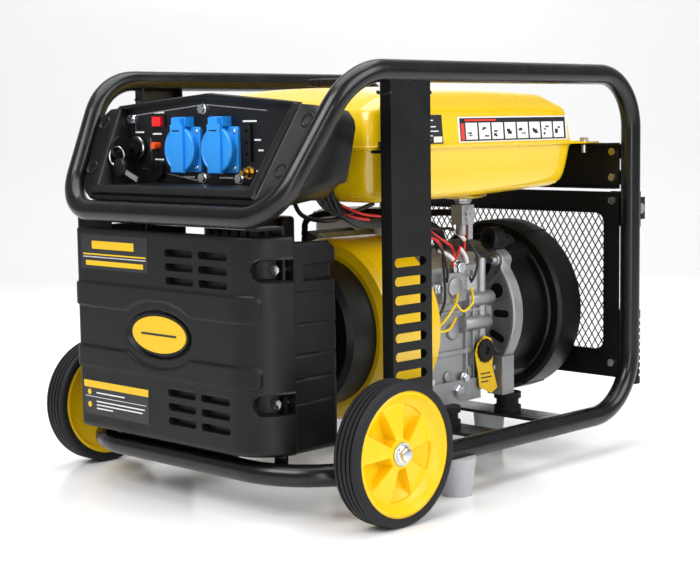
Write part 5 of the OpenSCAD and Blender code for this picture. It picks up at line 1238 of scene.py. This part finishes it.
def addStage():
    # pale sweep: a floor that curves up into a backdrop behind the machine
    mesh = bpy.data.meshes.new("floorSweep")
    half = stageSize["floor"]
    profile = [(-half, 0.0), (stageSize["wallStart"], 0.0)]
    for i in range(1, 13):
        a = math.radians(90 * i / 12)
        profile.append((stageSize["wallStart"] + stageSize["sweep"] * math.sin(a),
                        stageSize["sweep"] * (1 - math.cos(a))))
    profile.append((stageSize["wallStart"] + stageSize["sweep"], stageSize["height"]))
    away, side = Vector((-0.695, 0.718, 0)), Vector((0.718, 0.695, 0))
    verts = [tuple(away * d + side * s + Vector((0, 0, z))) for d, z in profile for s in (-half, half)]
    faces = [(2 * i, 2 * i + 1, 2 * i + 3, 2 * i + 2) for i in range(len(profile) - 1)]
    mesh.from_pydata(verts, [], faces)
    mesh.shade_smooth()
    floor = bpy.data.objects.new("floorSweep", mesh)
    bpy.context.collection.objects.link(floor)
    mesh.materials.append(finish("painted_studio_floor", "#f4f4f5", 0.16, tint=0.01, tintSize=900, roughSpread=0.03))


lamps = {
    # name: (place, aims at, size, watts)
    "keySoftbox": ((0.2, -2.6, 2.6), (0, 0, 0.25), (2.2, 1.6), 88),
    "sideSoftbox": ((2.8, 0.6, 1.8), (0, 0, 0.2), (2.4, 1.8), 68),
    "topSoftbox": ((-0.2, 0.1, 2.8), (0, 0, 0.2), (2.6, 2.6), 70),
    "lowStrip": ((1.9, -1.4, 0.5), (0, 0, 0.2), (0.5, 1.6), 12),
}


def addLights():
    for name, (place, target, size, watts) in lamps.items():
        lamp = bpy.data.lights.new(name, "AREA")
        lamp.shape = "RECTANGLE"
        lamp.size, lamp.size_y = size
        lamp.energy = watts
        holder = bpy.data.objects.new(name, lamp)
        holder.location = place
        holder.rotation_euler = (Vector(target) - Vector(place)).to_track_quat("-Z", "Y").to_euler()
        bpy.context.collection.objects.link(holder)
    world = bpy.data.worlds.new("studioWorld")
    world.use_nodes = True
    world.node_tree.nodes["Background"].inputs["Color"].default_value = (1, 1, 1, 1)
    world.node_tree.nodes["Background"].inputs["Strength"].default_value = 0.32
    bpy.context.scene.world = world


viewpoint = {"place": (1.3188, -1.3655, 0.4162), "yaw": 44.391, "pitch": -6.209, "roll": -0.791, "lens": 80.577}


def addCamera():
    lens = bpy.data.cameras.new("camera")
    lens.lens = viewpoint["lens"]
    lens.sensor_width = 36
    camera = bpy.data.objects.new("camera", lens)
    bpy.context.collection.objects.link(camera)
    turn = (Matrix.Rotation(math.radians(viewpoint["yaw"]), 4, "Z")
            @ Matrix.Rotation(math.radians(90 + viewpoint["pitch"]), 4, "X")
            @ Matrix.Rotation(math.radians(viewpoint["roll"]), 4, "Z"))
    camera.matrix_world = Matrix.Translation(viewpoint["place"]) @ turn
    bpy.context.scene.camera = camera
    bpy.context.scene.view_settings.view_transform = "Standard"


addStage()
addLights()
addCamera()
print("stage, lights and camera in place")
